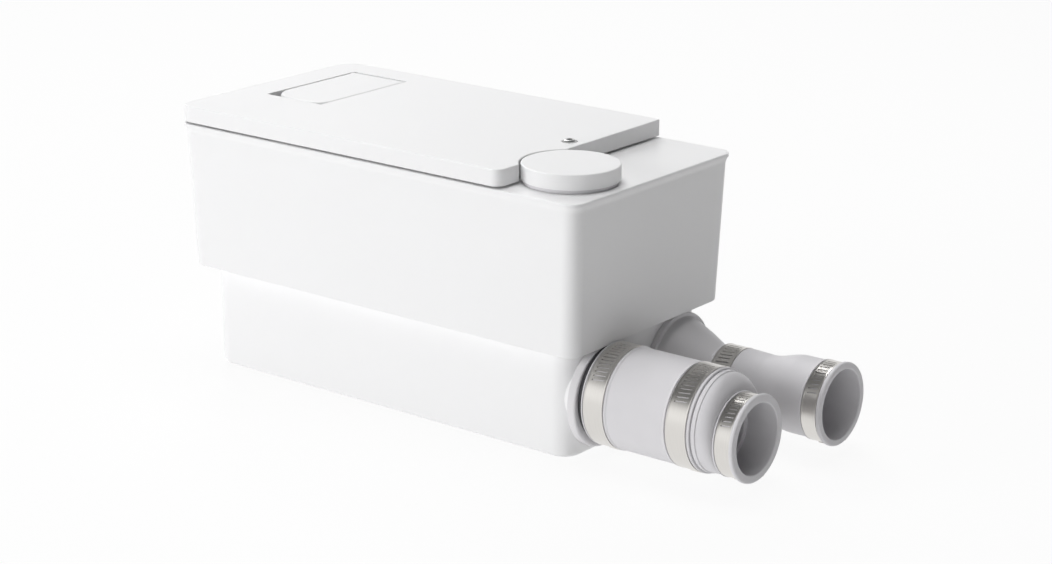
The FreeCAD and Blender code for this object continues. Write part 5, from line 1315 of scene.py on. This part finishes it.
@dataclass
class PressureCoupling(Coupling):
    """The conical nipple and the sleeve of the pressure line."""

    y: float = 40.0
    z: float = 32.0
    spigot_radius: float = 16.0
    drop: float = 0.0
    pipe_band: Span = (237.6, 247.6)
    pipe_band_radius: float = 22.45
    lip_radius: float = 24.2
    end: float = 250.5
    bore_radius: float = 20.3
    stub_radius: float = 14.02
    stub_end: float = 141.1
    flange_end: float = 140.5
    flange_radius: float = 31.0
    cone_radius: float = 28.6
    cone_hollow: Corner = Corner(154.5, 22.8, 12.0)
    spigot_start: float = 168.5
    spigot_end: float = 192.0
    spigot_bore: float = 12.0
    sleeve_start: float = 171.0
    nipple_band: Span = (171.8, 185.1)
    band_radius: float = 18.1
    end_ridge_radius: float = 18.5
    ridge_radius: float = 18.75
    waist: Corner = Corner(202.0, 18.2, 6.0)
    full: Corner = Corner(223.0, 22.5, 6.0)
    pipe_ridge_radius: float = 23.3
    socket_end: float = 226.0
    throat_radius: float = 15.0

    def build(self) -> None:
        """Builds both pieces."""
        self._nipple()
        self._sleeve()

    def _nipple(self) -> None:
        """The flange on the tank, the hollow-sided cone and the spigot."""
        corners = (Corner(self.tank_face, self.stub_radius), Corner(self.tank_face, self.flange_radius, 0.4),
                   Corner(self.flange_end, self.flange_radius, 1.0),
                   Corner(self.flange_end, self.cone_radius, 0.8), self.cone_hollow,
                   Corner(self.spigot_start, self.spigot_radius, 3.0),
                   Corner(self.spigot_end, self.spigot_radius, 0.8),
                   Corner(self.spigot_end, self.spigot_bore, 0.8), Corner(self.stub_end, self.spigot_bore),
                   Corner(self.stub_end, self.stub_radius))
        self.mould("discharge_nipple_moulding", Slot.COUPLING_PLASTIC, corners, "discharge_nipple")

    def _sleeve(self) -> None:
        """The narrow neck, the waist, the swell and the pipe socket with its lip."""
        hole, seat, start = self.spigot_radius + 0.02, self.band_radius, self.sleeve_start
        end_ridge, ridge, pipe_ridge = self.end_ridge_radius, self.ridge_radius, self.pipe_ridge_radius
        left, right = self.nipple_band
        corners = [Corner(start, hole, 0.4), Corner(start, end_ridge, 0.4),
                   Corner(left - 0.2, end_ridge, 0.2), Corner(left, seat, 0.1), Corner(right, seat, 0.1),
                   Corner(right + 0.2, ridge, 0.3), Corner(right + 1.5, ridge - 0.05, 0.8), self.waist,
                   *swell(self.waist, self.full), self.full]
        left = self.pipe_band[0]
        corners += [Corner(left - 1.5, self.full.radius, 0.5), Corner(left - 1.0, pipe_ridge, 0.4),
                    Corner(left - 0.1, pipe_ridge, 0.4), *self.mouth()]
        step = self.spigot_end + 0.1
        corners += [Corner(self.socket_end, self.bore_radius, 0.4),
                    Corner(self.socket_end - 4.0, self.throat_radius, 1.0),
                    Corner(step, self.throat_radius, 0.3), Corner(step, hole)]
        self.mould("discharge_sleeve_moulding", Slot.COUPLING_RUBBER, corners, "discharge_sleeve")


@dataclass
class HoseClamp:
    """A worm-drive clamp: slotted band with rolled edges, worm housing and worm screw.

    The worm is drawn upright on the +Y side of the band and swung down from there. Angles go from +Y
    towards +Z.
    """

    name: str
    middle: float
    width: float
    y: float
    z: float
    seat: float
    thickness: float = 0.7
    around: int = 144
    seat_gap: float = 0.03
    roll_width: float = 1.0
    roll_rise: float = 0.2
    slot_width: float = 0.75
    pitch: float = 2.5
    slot_share: float = 0.62
    first_angle: float = 88.0
    last_angle: float = 152.0
    slant: float = 6.0
    tail_from: float = -14.0
    tail_to: float = -58.0
    tail_lift: float = 0.04
    tail_margin: float = 1.0
    tail_thinning: float = 0.8
    tail_steps: int = 14
    tail_edge: float = 0.12
    taper_share: float = 0.5
    taper_from: float = 0.85
    worm_radius: float = 3.2
    worm_angle: float = -50.0
    worm_gap: float = 0.3
    thread_depth: float = 0.75
    thread_from: float = 1.0
    unthreaded: float = 2.2
    shell_radius: float = 4.2
    shell_points: int = 32
    shell_sections: int = 8
    shell_edge: float = 0.3
    shell_crease: float = 50.0
    shell_flare: float = 1.35
    length: float = 13.0
    foot_margin: float = 0.6
    bore_gap: float = 0.15
    foot_sink: float = 0.15
    tip_length: float = 1.5
    tip_radius: float = 1.4
    core_radius: float = 2.1
    neck_gap: float = 0.3
    neck_radius: float = 3.1
    head_flats: float = 7.0
    head_height: float = 4.0
    head_slot: float = 1.2

    def build(self) -> None:
        """Builds the band with its housing and the screw."""
        drive = joined(self._tail(), self._housing())
        drive.transform(self._swing())
        whole = joined(self._band(), drive)
        self._strip_map(whole)
        finished(whole, self.name + "_band_strip", Slot.BAND_STEEL, "station", self.name + "_band")
        self._screw()

    @property
    def outer(self) -> float:
        """The radius of the band's outside."""
        return self.seat + self.thickness

    @property
    def worm_y(self) -> float:
        """The worm's axis, beyond the band on the +Y side, before it swings down."""
        return self.y + self.outer + self.worm_radius + self.worm_gap

    @property
    def home(self) -> Matrix:
        """The move to the band's middle."""
        return Matrix.Translation(place(self.middle, self.y, self.z))

    def _swing(self) -> Matrix:
        """The turn about the band's axis that brings the drive low on the far side."""
        return self.home @ Matrix.Rotation(math.radians(self.worm_angle), 4, "X") @ self.home.inverted()

    def _band(self) -> Mesh:
        """The closed ring, its edges rolled slightly outwards and its slanted slots cut through.

        Returns:
            The mesh.
        """
        inner, half = self.seat + self.seat_gap, self.width / 2
        edge = ((self.roll_width, inner, 0.5), (0.0, inner + self.roll_rise + 0.1, 0.15),
                (0.0, self.outer + self.roll_rise, 0.2), (self.roll_width - 0.1, self.outer, 0.5))
        left = [Corner(self.middle - half + inset, radius, rounding) for inset, radius, rounding in edge]
        right = [Corner(self.middle + half - inset, radius, rounding)
                 for inset, radius, rounding in reversed(edge)]
        first, last = math.radians(self.first_angle), math.radians(self.last_angle)
        step = self.pitch / self.seat
        count = int((last - first) / step) + 1
        size = (self.width * self.slot_share, 4 * self.thickness, self.slot_width)
        form = slot_form(self.name + "_slots", Slot.BAND_STEEL, size, self.seat + self.thickness / 2, count,
                         first, step, slant=math.radians(self.slant))
        return form.worked(turned(left + right, self.y, self.z, self.around), self.home)

    def _tail(self) -> Mesh:
        """The band's free end, which runs out under the housing and lies on the band.

        Returns:
            The mesh.
        """
        low = self.outer + self.tail_lift
        high = low + self.thickness * self.tail_thinning
        rows = []
        for step in range(self.tail_steps + 1):
            share = step / self.tail_steps
            turn = math.radians(self.tail_from + (self.tail_to - self.tail_from) * share)
            narrow = 1.0 - self.taper_share * max(0.0, share - self.taper_from) / (1.0 - self.taper_from)
            half = (self.width / 2 - self.tail_margin) * narrow
            across, up = math.cos(turn), math.sin(turn)
            rows.append([place(self.middle + x, self.y + reach * across, self.z + reach * up)
                         for x, reach in ((-half, low), (-half, high), (half, high), (half, low))])
        return bevelled(lofted(rows), self.tail_edge)

    def _housing(self) -> Mesh:
        """The pressed housing over the worm, with the worm's bore through it.

        Returns:
            The mesh.
        """
        sections = []
        for step in range(self.shell_sections + 1):
            level = self.length * (step / self.shell_sections - 0.5)
            base = math.sqrt(self.outer ** 2 - level ** 2) - self.foot_sink - (self.worm_y - self.y)
            sections.append((level, self._arch(base)))
        bore = self._round(self.worm_radius + self.bore_gap)
        sections += [(self.length / 2, bore), (-self.length / 2, bore)]
        rows = [[place(self.middle + x, self.worm_y + y, self.z + level) for x, y in section]
                for level, section in sections]
        return bevelled(lofted(rows, looped=True), self.shell_edge, math.radians(self.shell_crease))

    def _round(self, radius: float) -> list[Span]:
        """A ring about the worm's axis that starts away from the band, as across and out."""
        turns = [math.pi / 2 + FULL_TURN * index / self.shell_points for index in range(self.shell_points)]
        return [(radius * math.cos(turn), radius * math.sin(turn)) for turn in turns]

    def _arch(self, base: float) -> list[Span]:
        """A section of the housing: a ring above, drawn out below to flat feet on the band.

        Args:
            base: how far out from the worm's axis the feet end; below nought, towards the band.

        Returns:
            Points as across and out.
        """
        foot = self.width / 2 - self.foot_margin
        points = []
        for x, y in self._round(self.shell_radius):
            if y < 0:
                low = min(1.0, -y / self.shell_radius * self.shell_flare)
                x = math.copysign(abs(x) + (foot - abs(x)) * low, x) if abs(x) > 1e-6 else 0.0
                y = base * low
            points.append((x, y))
        return points

    def _strip_map(self, mesh: Mesh) -> None:
        """Maps the band in metres: across the strip and along it.

        Args:
            mesh: the whole band.
        """
        chart = mesh.uv_layers.new(name=BAND_MAP)
        centre = place(self.middle, self.y, self.z)
        for face in mesh.polygons:
            away = face.center - centre
            heading = math.atan2(away.z, away.y)
            for loop in face.loop_indices:
                point = mesh.vertices[mesh.loops[loop].vertex_index].co - centre
                turn = math.atan2(point.z, point.y)
                turn += FULL_TURN * round((heading - turn) / FULL_TURN)
                chart.data[loop].uv = (point.x, metres(turn * self.seat))

    def _screw(self) -> None:
        """The worm with its helical thread and slotted hexagon head."""
        x, y = self.middle, self.worm_y
        foot = self.z - self.length / 2 - self.tip_length
        neck = self.z + self.length / 2 + self.neck_gap
        core = round_post(x, y, ((0.0, foot), (self.tip_radius, foot), (self.core_radius, foot + 0.7),
                                 (self.core_radius, neck), (self.neck_radius, neck),
                                 (self.neck_radius, neck + 0.01)))
        thread = thread_form(self.name + "_thread", self.worm_radius, self.thread_depth, self.pitch,
                             (neck - foot - self.unthreaded) / self.pitch,
                             place(x, y, foot + self.thread_from))
        whole = thread.grown(joined(core, self._head(x, y, neck)))
        whole.transform(self._swing())
        finished(whole, self.name + "_screw_worm", Slot.SCREW_STEEL, self.name.replace("clamp", "worm"),
                 self.name + "_screw")

    def _head(self, x: float, y: float, under: float) -> Mesh:
        """The hexagon head with chamfered corners and a driving slot.

        Args:
            x: the axis's place along X.
            y: the axis's place along Y.
            under: the height of its underside.

        Returns:
            The mesh.
        """
        reach, high = self.head_flats / math.sqrt(3), self.head_height
        head = lofted([ring(x, y, under + level, reach * scale, 6)
                       for scale, level in ((0.93, 0.0), (1.0, 0.3), (1.0, high - 0.5), (0.88, high))])
        return driving_slot(head, "driving_slot", place(x, y, under + high / 2 + 0.6),
                            (self.head_flats * 2, high, self.head_slot), high / 2)


CLAMPS = (HoseClamp("clamp_tank", 154.4, 13.0, -35.5, 36.8, 29.0),
          HoseClamp("clamp_reducer", 209.6, 13.0, -35.5, 36.8, 29.0),
          HoseClamp("clamp_inlet_pipe", 235.8, 9.3, -35.5, 32.0, 23.0),
          HoseClamp("clamp_nipple", 178.4, 13.0, 40.0, 32.0, 18.1),
          HoseClamp("clamp_outlet_pipe", 242.6, 9.3, 40.0, 32.0, 22.5))


@dataclass
class LidScrew:
    """The captive screw of the lid: button head, hexagon socket and threaded shank."""

    x: float = 87.7
    y: float = 0.0
    head_top: float = 166.9
    foot: float = 144.0
    head_radius: float = 4.2
    head_height: float = 3.2
    dome_height: float = 1.3
    shank_radius: float = 3.0
    flats: float = 3.2
    pitch: float = 1.0
    thread_depth: float = 0.45
    thread_from: float = 0.8
    unthreaded: float = 2.0

    def build(self) -> None:
        """Builds the screw and hangs it on its own body."""
        under = self.head_top - self.head_height
        body = socket_screw(self.x, self.y, self.foot, under, self.head_top,
                            self.shank_radius - self.thread_depth, self.head_radius, self.dome_height,
                            self.flats)
        thread = thread_form("lid_screw_thread", self.shank_radius, self.thread_depth, self.pitch,
                             (under - self.foot - self.unthreaded) / self.pitch,
                             place(self.x, self.y, self.foot + self.thread_from))
        finished(thread.grown(body), "lid_screw_button_head", Slot.SCREW_STEEL, "lid_fastener", "lid_screw")


@dataclass
class FilterCartridge:
    """The perforated basket and the pressed carbon in it."""

    frame: Mapping[str, Any]
    x: float = 116.8
    y: float = -37.1
    middle: float = 125.0
    wall_radius: float = 19.45
    rows: int = 6
    row_step: float = 6.6
    columns: int = 26
    hole: Triple = (4.2, 3.4, 1.7)
    basket_edge: float = 0.25
    carbon_edge: float = 0.8

    def build(self) -> None:
        """Builds both pieces on the cartridge's body."""
        nodes = self.frame["nodes"]
        form = slot_form("basket_holes", Slot.GREY_PLASTIC, self.hole, self.wall_radius, self.columns,
                         step=FULL_TURN / self.columns, rows=self.rows, row_step=self.row_step)
        home = Matrix.Translation(place(self.x, self.y, self.middle)) @ Matrix.Rotation(-math.pi / 2, 4, "Y")
        basket = form.worked(eased_copy(nodes["filter_basket"], self.basket_edge), home)
        finished(basket, "filter_basket_perforated", Slot.GREY_PLASTIC, "filter_cartridge", "filter_basket")
        carbon = eased_copy(nodes["carbon_filter"], self.carbon_edge)
        finished(carbon, "carbon_filter_pressed", Slot.CARBON, "filter_cartridge", "carbon_filter")


# The move from the housing's middle to the part's origin, for what is drawn once and copied or turned.
TO_ORIGIN = Matrix.Translation(place(0.0, 0.0, 0.0)).inverted()


@dataclass
class Fasteners:
    """The deck's pan-head screws and the motor's tie rods."""

    deck_top: float = 80.0
    deck_spots: tuple[float, ...] = (-117.906, -43.872, 50.0415)
    deck_side: float = 55.9
    deck_length: float = 16.0
    deck_shank: float = 2.0
    deck_head: float = 4.0
    deck_head_height: float = 2.6
    deck_slot: float = 1.2
    motor: Span = (-20.0, 8.0)
    rod_circle: float = 42.8
    rod_shank: float = 1.95
    rod_head: float = 3.5
    rod_under: float = 141.0
    rod_top: float = 144.0
    rod_dome: float = 0.5
    rod_flats: float = 3.0

    def build(self) -> None:
        """Builds one screw of each kind and sets it at its places."""
        deck = [place(x, side * self.deck_side, self.deck_top) for x in self.deck_spots for side in (-1, 1)]
        finished(copied(self._pan_screw(), deck, "deck_screw_places"), "deck_screws_pan_head",
                 Slot.SCREW_STEEL, "station", "deck_screws")
        rod = socket_screw(0.0, 0.0, 0.0, self.rod_under - self.deck_top, self.rod_top - self.deck_top,
                           self.rod_shank, self.rod_head, self.rod_dome, self.rod_flats)
        rod.transform(TO_ORIGIN)
        x, y = self.motor
        corner = self.rod_circle * math.sqrt(0.5)
        rods = [place(x + across * corner, y + side * corner, self.deck_top)
                for across in (-1, 1) for side in (-1, 1)]
        finished(copied(rod, rods, "tie_rod_places"), "motor_tie_rods_cap_head", Slot.SCREW_STEEL, "station",
                 "motor_tie_rods")

    def _pan_screw(self) -> Mesh:
        """A pan-head screw with a driving slot.

        Returns:
            The mesh, its head on the origin's level.
        """
        shank, head, high = self.deck_shank, self.deck_head, self.deck_head_height
        stations = ((0.4, -self.deck_length), (shank, 1.5 - self.deck_length), (shank, 0.0),
                    (head - 0.2, 0.0), (head, 0.2), (head, high * 0.45), (head * 0.93, high * 0.75),
                    (head * 0.78, high * 0.93), (head * 0.5, high), (0.0, high))
        screw = driving_slot(round_post(0.0, 0.0, stations), "pan_slot", place(0.0, 0.0, high),
                             (2.4 * head, high, self.deck_slot), 0.0)
        screw.transform(TO_ORIGIN)
        return screw


@dataclass
class BlankGrommet:
    """The rubber blank in the cable entry of the back wall."""

    x: float = -108.0
    z: float = 92.0
    wall: float = 73.95
    depth: float = 3.0
    neck_radius: float = 6.4
    rim_radius: float = 9.0
    height: float = 1.6

    def build(self) -> None:
        """Builds the rounded rim, the sunk skin and the pip in its middle."""
        rim, high = self.rim_radius, self.height
        stations = ((self.neck_radius, -self.depth), (self.neck_radius, 0.0), (rim - 0.2, 0.0), (rim, 0.3),
                    (rim, high * 0.5), (rim - 0.25, high * 0.8), (rim - 0.8, high), (rim - 2.4, high),
                    (rim - 2.8, high * 0.85), (rim - 3.1, high * 0.5), (2.8, high * 0.45), (2.0, high * 0.6),
                    (1.2, high * 0.85), (0.0, high * 0.95))
        mesh = round_post(0.0, 0.0, stations, 64)
        home = Matrix.Translation(place(self.x, self.wall, self.z)) @ Matrix.Rotation(-math.pi / 2, 4, "X")
        mesh.transform(home @ TO_ORIGIN)
        finished(mesh, "cable_grommet_blank", Slot.DARK_RUBBER, "station", "cable_grommet")


# Floor, light and camera.


@dataclass(frozen=True)
class Lamp:
    """A square lamp that faces the object: its place and size in metres, and its power in watts."""

    name: str
    spot: Triple
    size: float
    watts: float
    mirrored: bool

    def build(self, target: Vector) -> None:
        """Makes the lamp.

        Args:
            target: the point it faces.
        """
        data = bpy.data.lights.new(self.name, "AREA")
        data.size = self.size
        data.energy = self.watts
        lamp = linked(self.name, data)
        lamp.location = self.spot
        lamp.rotation_euler = (target - Vector(self.spot)).to_track_quat("-Z", "Y").to_euler()
        lamp.visible_glossy = self.mirrored


@dataclass
class Studio:
    """The floor, the light and the camera, whose place is in millimetres."""

    azimuth: float = 37.916
    elevation: float = 17.378
    roll: float = 0.327
    distance: float = 1548.182
    aside: float = 45.161
    up: float = 61.376
    focus: float = 2538.003
    image_width: float = 1052.0
    sensor: float = 36.0
    nearest: float = 0.05
    farthest: float = 50.0
    floor_size: float = 6.0
    floor_drop: float = 0.0001
    floor_patch: float = 0.4
    floor_glow: float = 0.85
    floor_gloss: float = 0.05
    floor_lit: float = 0.5
    floor_white: float = 0.92
    dim: float = 0.06
    ceiling: float = 0.08
    backdrop_top: float = 0.6
    backdrop_fade: float = 4.0
    target: Triple = (0.0, 0.0, 0.08)
    lamps: tuple[Lamp, ...] = (Lamp("key", (-1.05, -1.85, 0.55), 0.8, 22.0, False),
                               Lamp("top", (-0.15, 0.1, 2.2), 1.5, 31.0, False),
                               Lamp("fill", (0.45, -1.2, 0.1), 0.8, 4.0, False),
                               Lamp("streak", (-1.2, 0.9, 1.45), 0.5, 10.0, True),
                               Lamp("card", (-1.3, -1.6, 0.5), 1.3, 1.6, True))

    def build(self) -> None:
        """Sets up floor, world, lamps and camera."""
        self._floor()
        self._world()
        for lamp in self.lamps:
            lamp.build(Vector(self.target))
        self._camera()

    def _floor(self) -> None:
        """A pale floor that keeps the shadow and is nearly white to the camera."""
        half, low = self.floor_size, -self.floor_drop
        mesh = bpy.data.meshes.new("floor")
        edges = ((-half, -half), (half, -half), (half, half), (-half, half))
        mesh.from_pydata([(x, y, low) for x, y in edges], [], [(0, 1, 2, 3)])
        made = bpy.data.materials.new("pale_floor")
        made.use_nodes = True
        shader = Shader(made.node_tree)
        colour = shader.mix(shader.noise(self.floor_patch), (0.86, 0.86, 0.86), (0.88, 0.88, 0.88))
        matt = shader.wire("ShaderNodeBsdfPrincipled", None, {"Base Color": colour, "Roughness": 0.8})
        straight, mirrored = shader.rays()
        white = shader.maths("MAXIMUM", straight, mirrored)
        glow = self.floor_glow + white * (1 - self.floor_glow) + mirrored * self.floor_gloss
        bright = shader.wire("ShaderNodeEmission", None, {"Color": (1, 1, 1, 1), "Strength": glow})
        share = self.floor_lit + white * (self.floor_white - self.floor_lit)
        surface = shader.wire("ShaderNodeMixShader", None, {0: share, 1: matt, 2: bright})
        shader.node("ShaderNodeOutputMaterial", None, {"Surface": surface})
        mesh.materials.append(made)
        linked("floor", mesh)

    def _world(self) -> None:
        """Even light from all round: white to the camera and glass, and to gloss up to a dim ceiling."""
        world = bpy.data.worlds.new("studio")
        bpy.context.scene.world = world
        world.use_nodes = True
        shader = Shader(world.node_tree)
        straight, mirrored = shader.rays()
        heading = shader.wire("ShaderNodeTexCoord", output="Generated")
        rise = shader.wire("ShaderNodeSeparateXYZ", None, {0: heading}, "Z")
        slope = (self.backdrop_top - rise) * self.backdrop_fade
        backdrop = shader.maths("MINIMUM", shader.maths("MAXIMUM", slope, 0.0), 1.0)
        gloss = self.ceiling + backdrop * (1 - self.dim - self.ceiling)
        strength = self.dim + straight * (1 - self.dim) + mirrored * gloss
        light = shader.wire("ShaderNodeBackground", None, {"Color": (1, 1, 1, 1), "Strength": strength})
        shader.node("ShaderNodeOutputWorld", None, {"Surface": light})

    def _camera(self) -> None:
        """The camera at the photograph's place."""
        turn, rise, tip = (math.radians(value) for value in (self.azimuth, self.elevation, self.roll))
        back = Vector((math.sin(turn) * math.cos(rise), -math.cos(turn) * math.cos(rise), math.sin(rise)))
        level = Vector((math.cos(turn), math.sin(turn), 0))
        above = back.cross(level)
        right = level * math.cos(tip) + above * math.sin(tip)
        upward = above * math.cos(tip) - level * math.sin(tip)
        spot = back * self.distance + right * self.aside + upward * self.up
        data = bpy.data.cameras.new("camera")
        data.sensor_width = self.sensor
        data.lens = self.focus / self.image_width * self.sensor
        data.clip_start = self.nearest
        data.clip_end = self.farthest
        camera = linked("camera", data)
        axes = Matrix((right, upward, back)).transposed().to_4x4()
        camera.matrix_world = Matrix.Translation(place(*spot)) @ axes
        bpy.context.scene.camera = camera


def main() -> None:
    """Builds every sub-assembly in order, and then the studio."""
    logging.basicConfig(level=logging.INFO, format="%(name)s %(message)s")
    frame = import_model()
    bpy.context.scene.view_settings.view_transform = "Standard"
    dress_nodes(frame)
    for assembly in (Housing(frame), InletCoupling(), PressureCoupling(), LidScrew(), FilterCartridge(frame),
                     Fasteners(), BlankGrommet(), Internals(frame), *CLAMPS, Studio()):
        assembly.build()


if __name__ == "__main__":
    main()
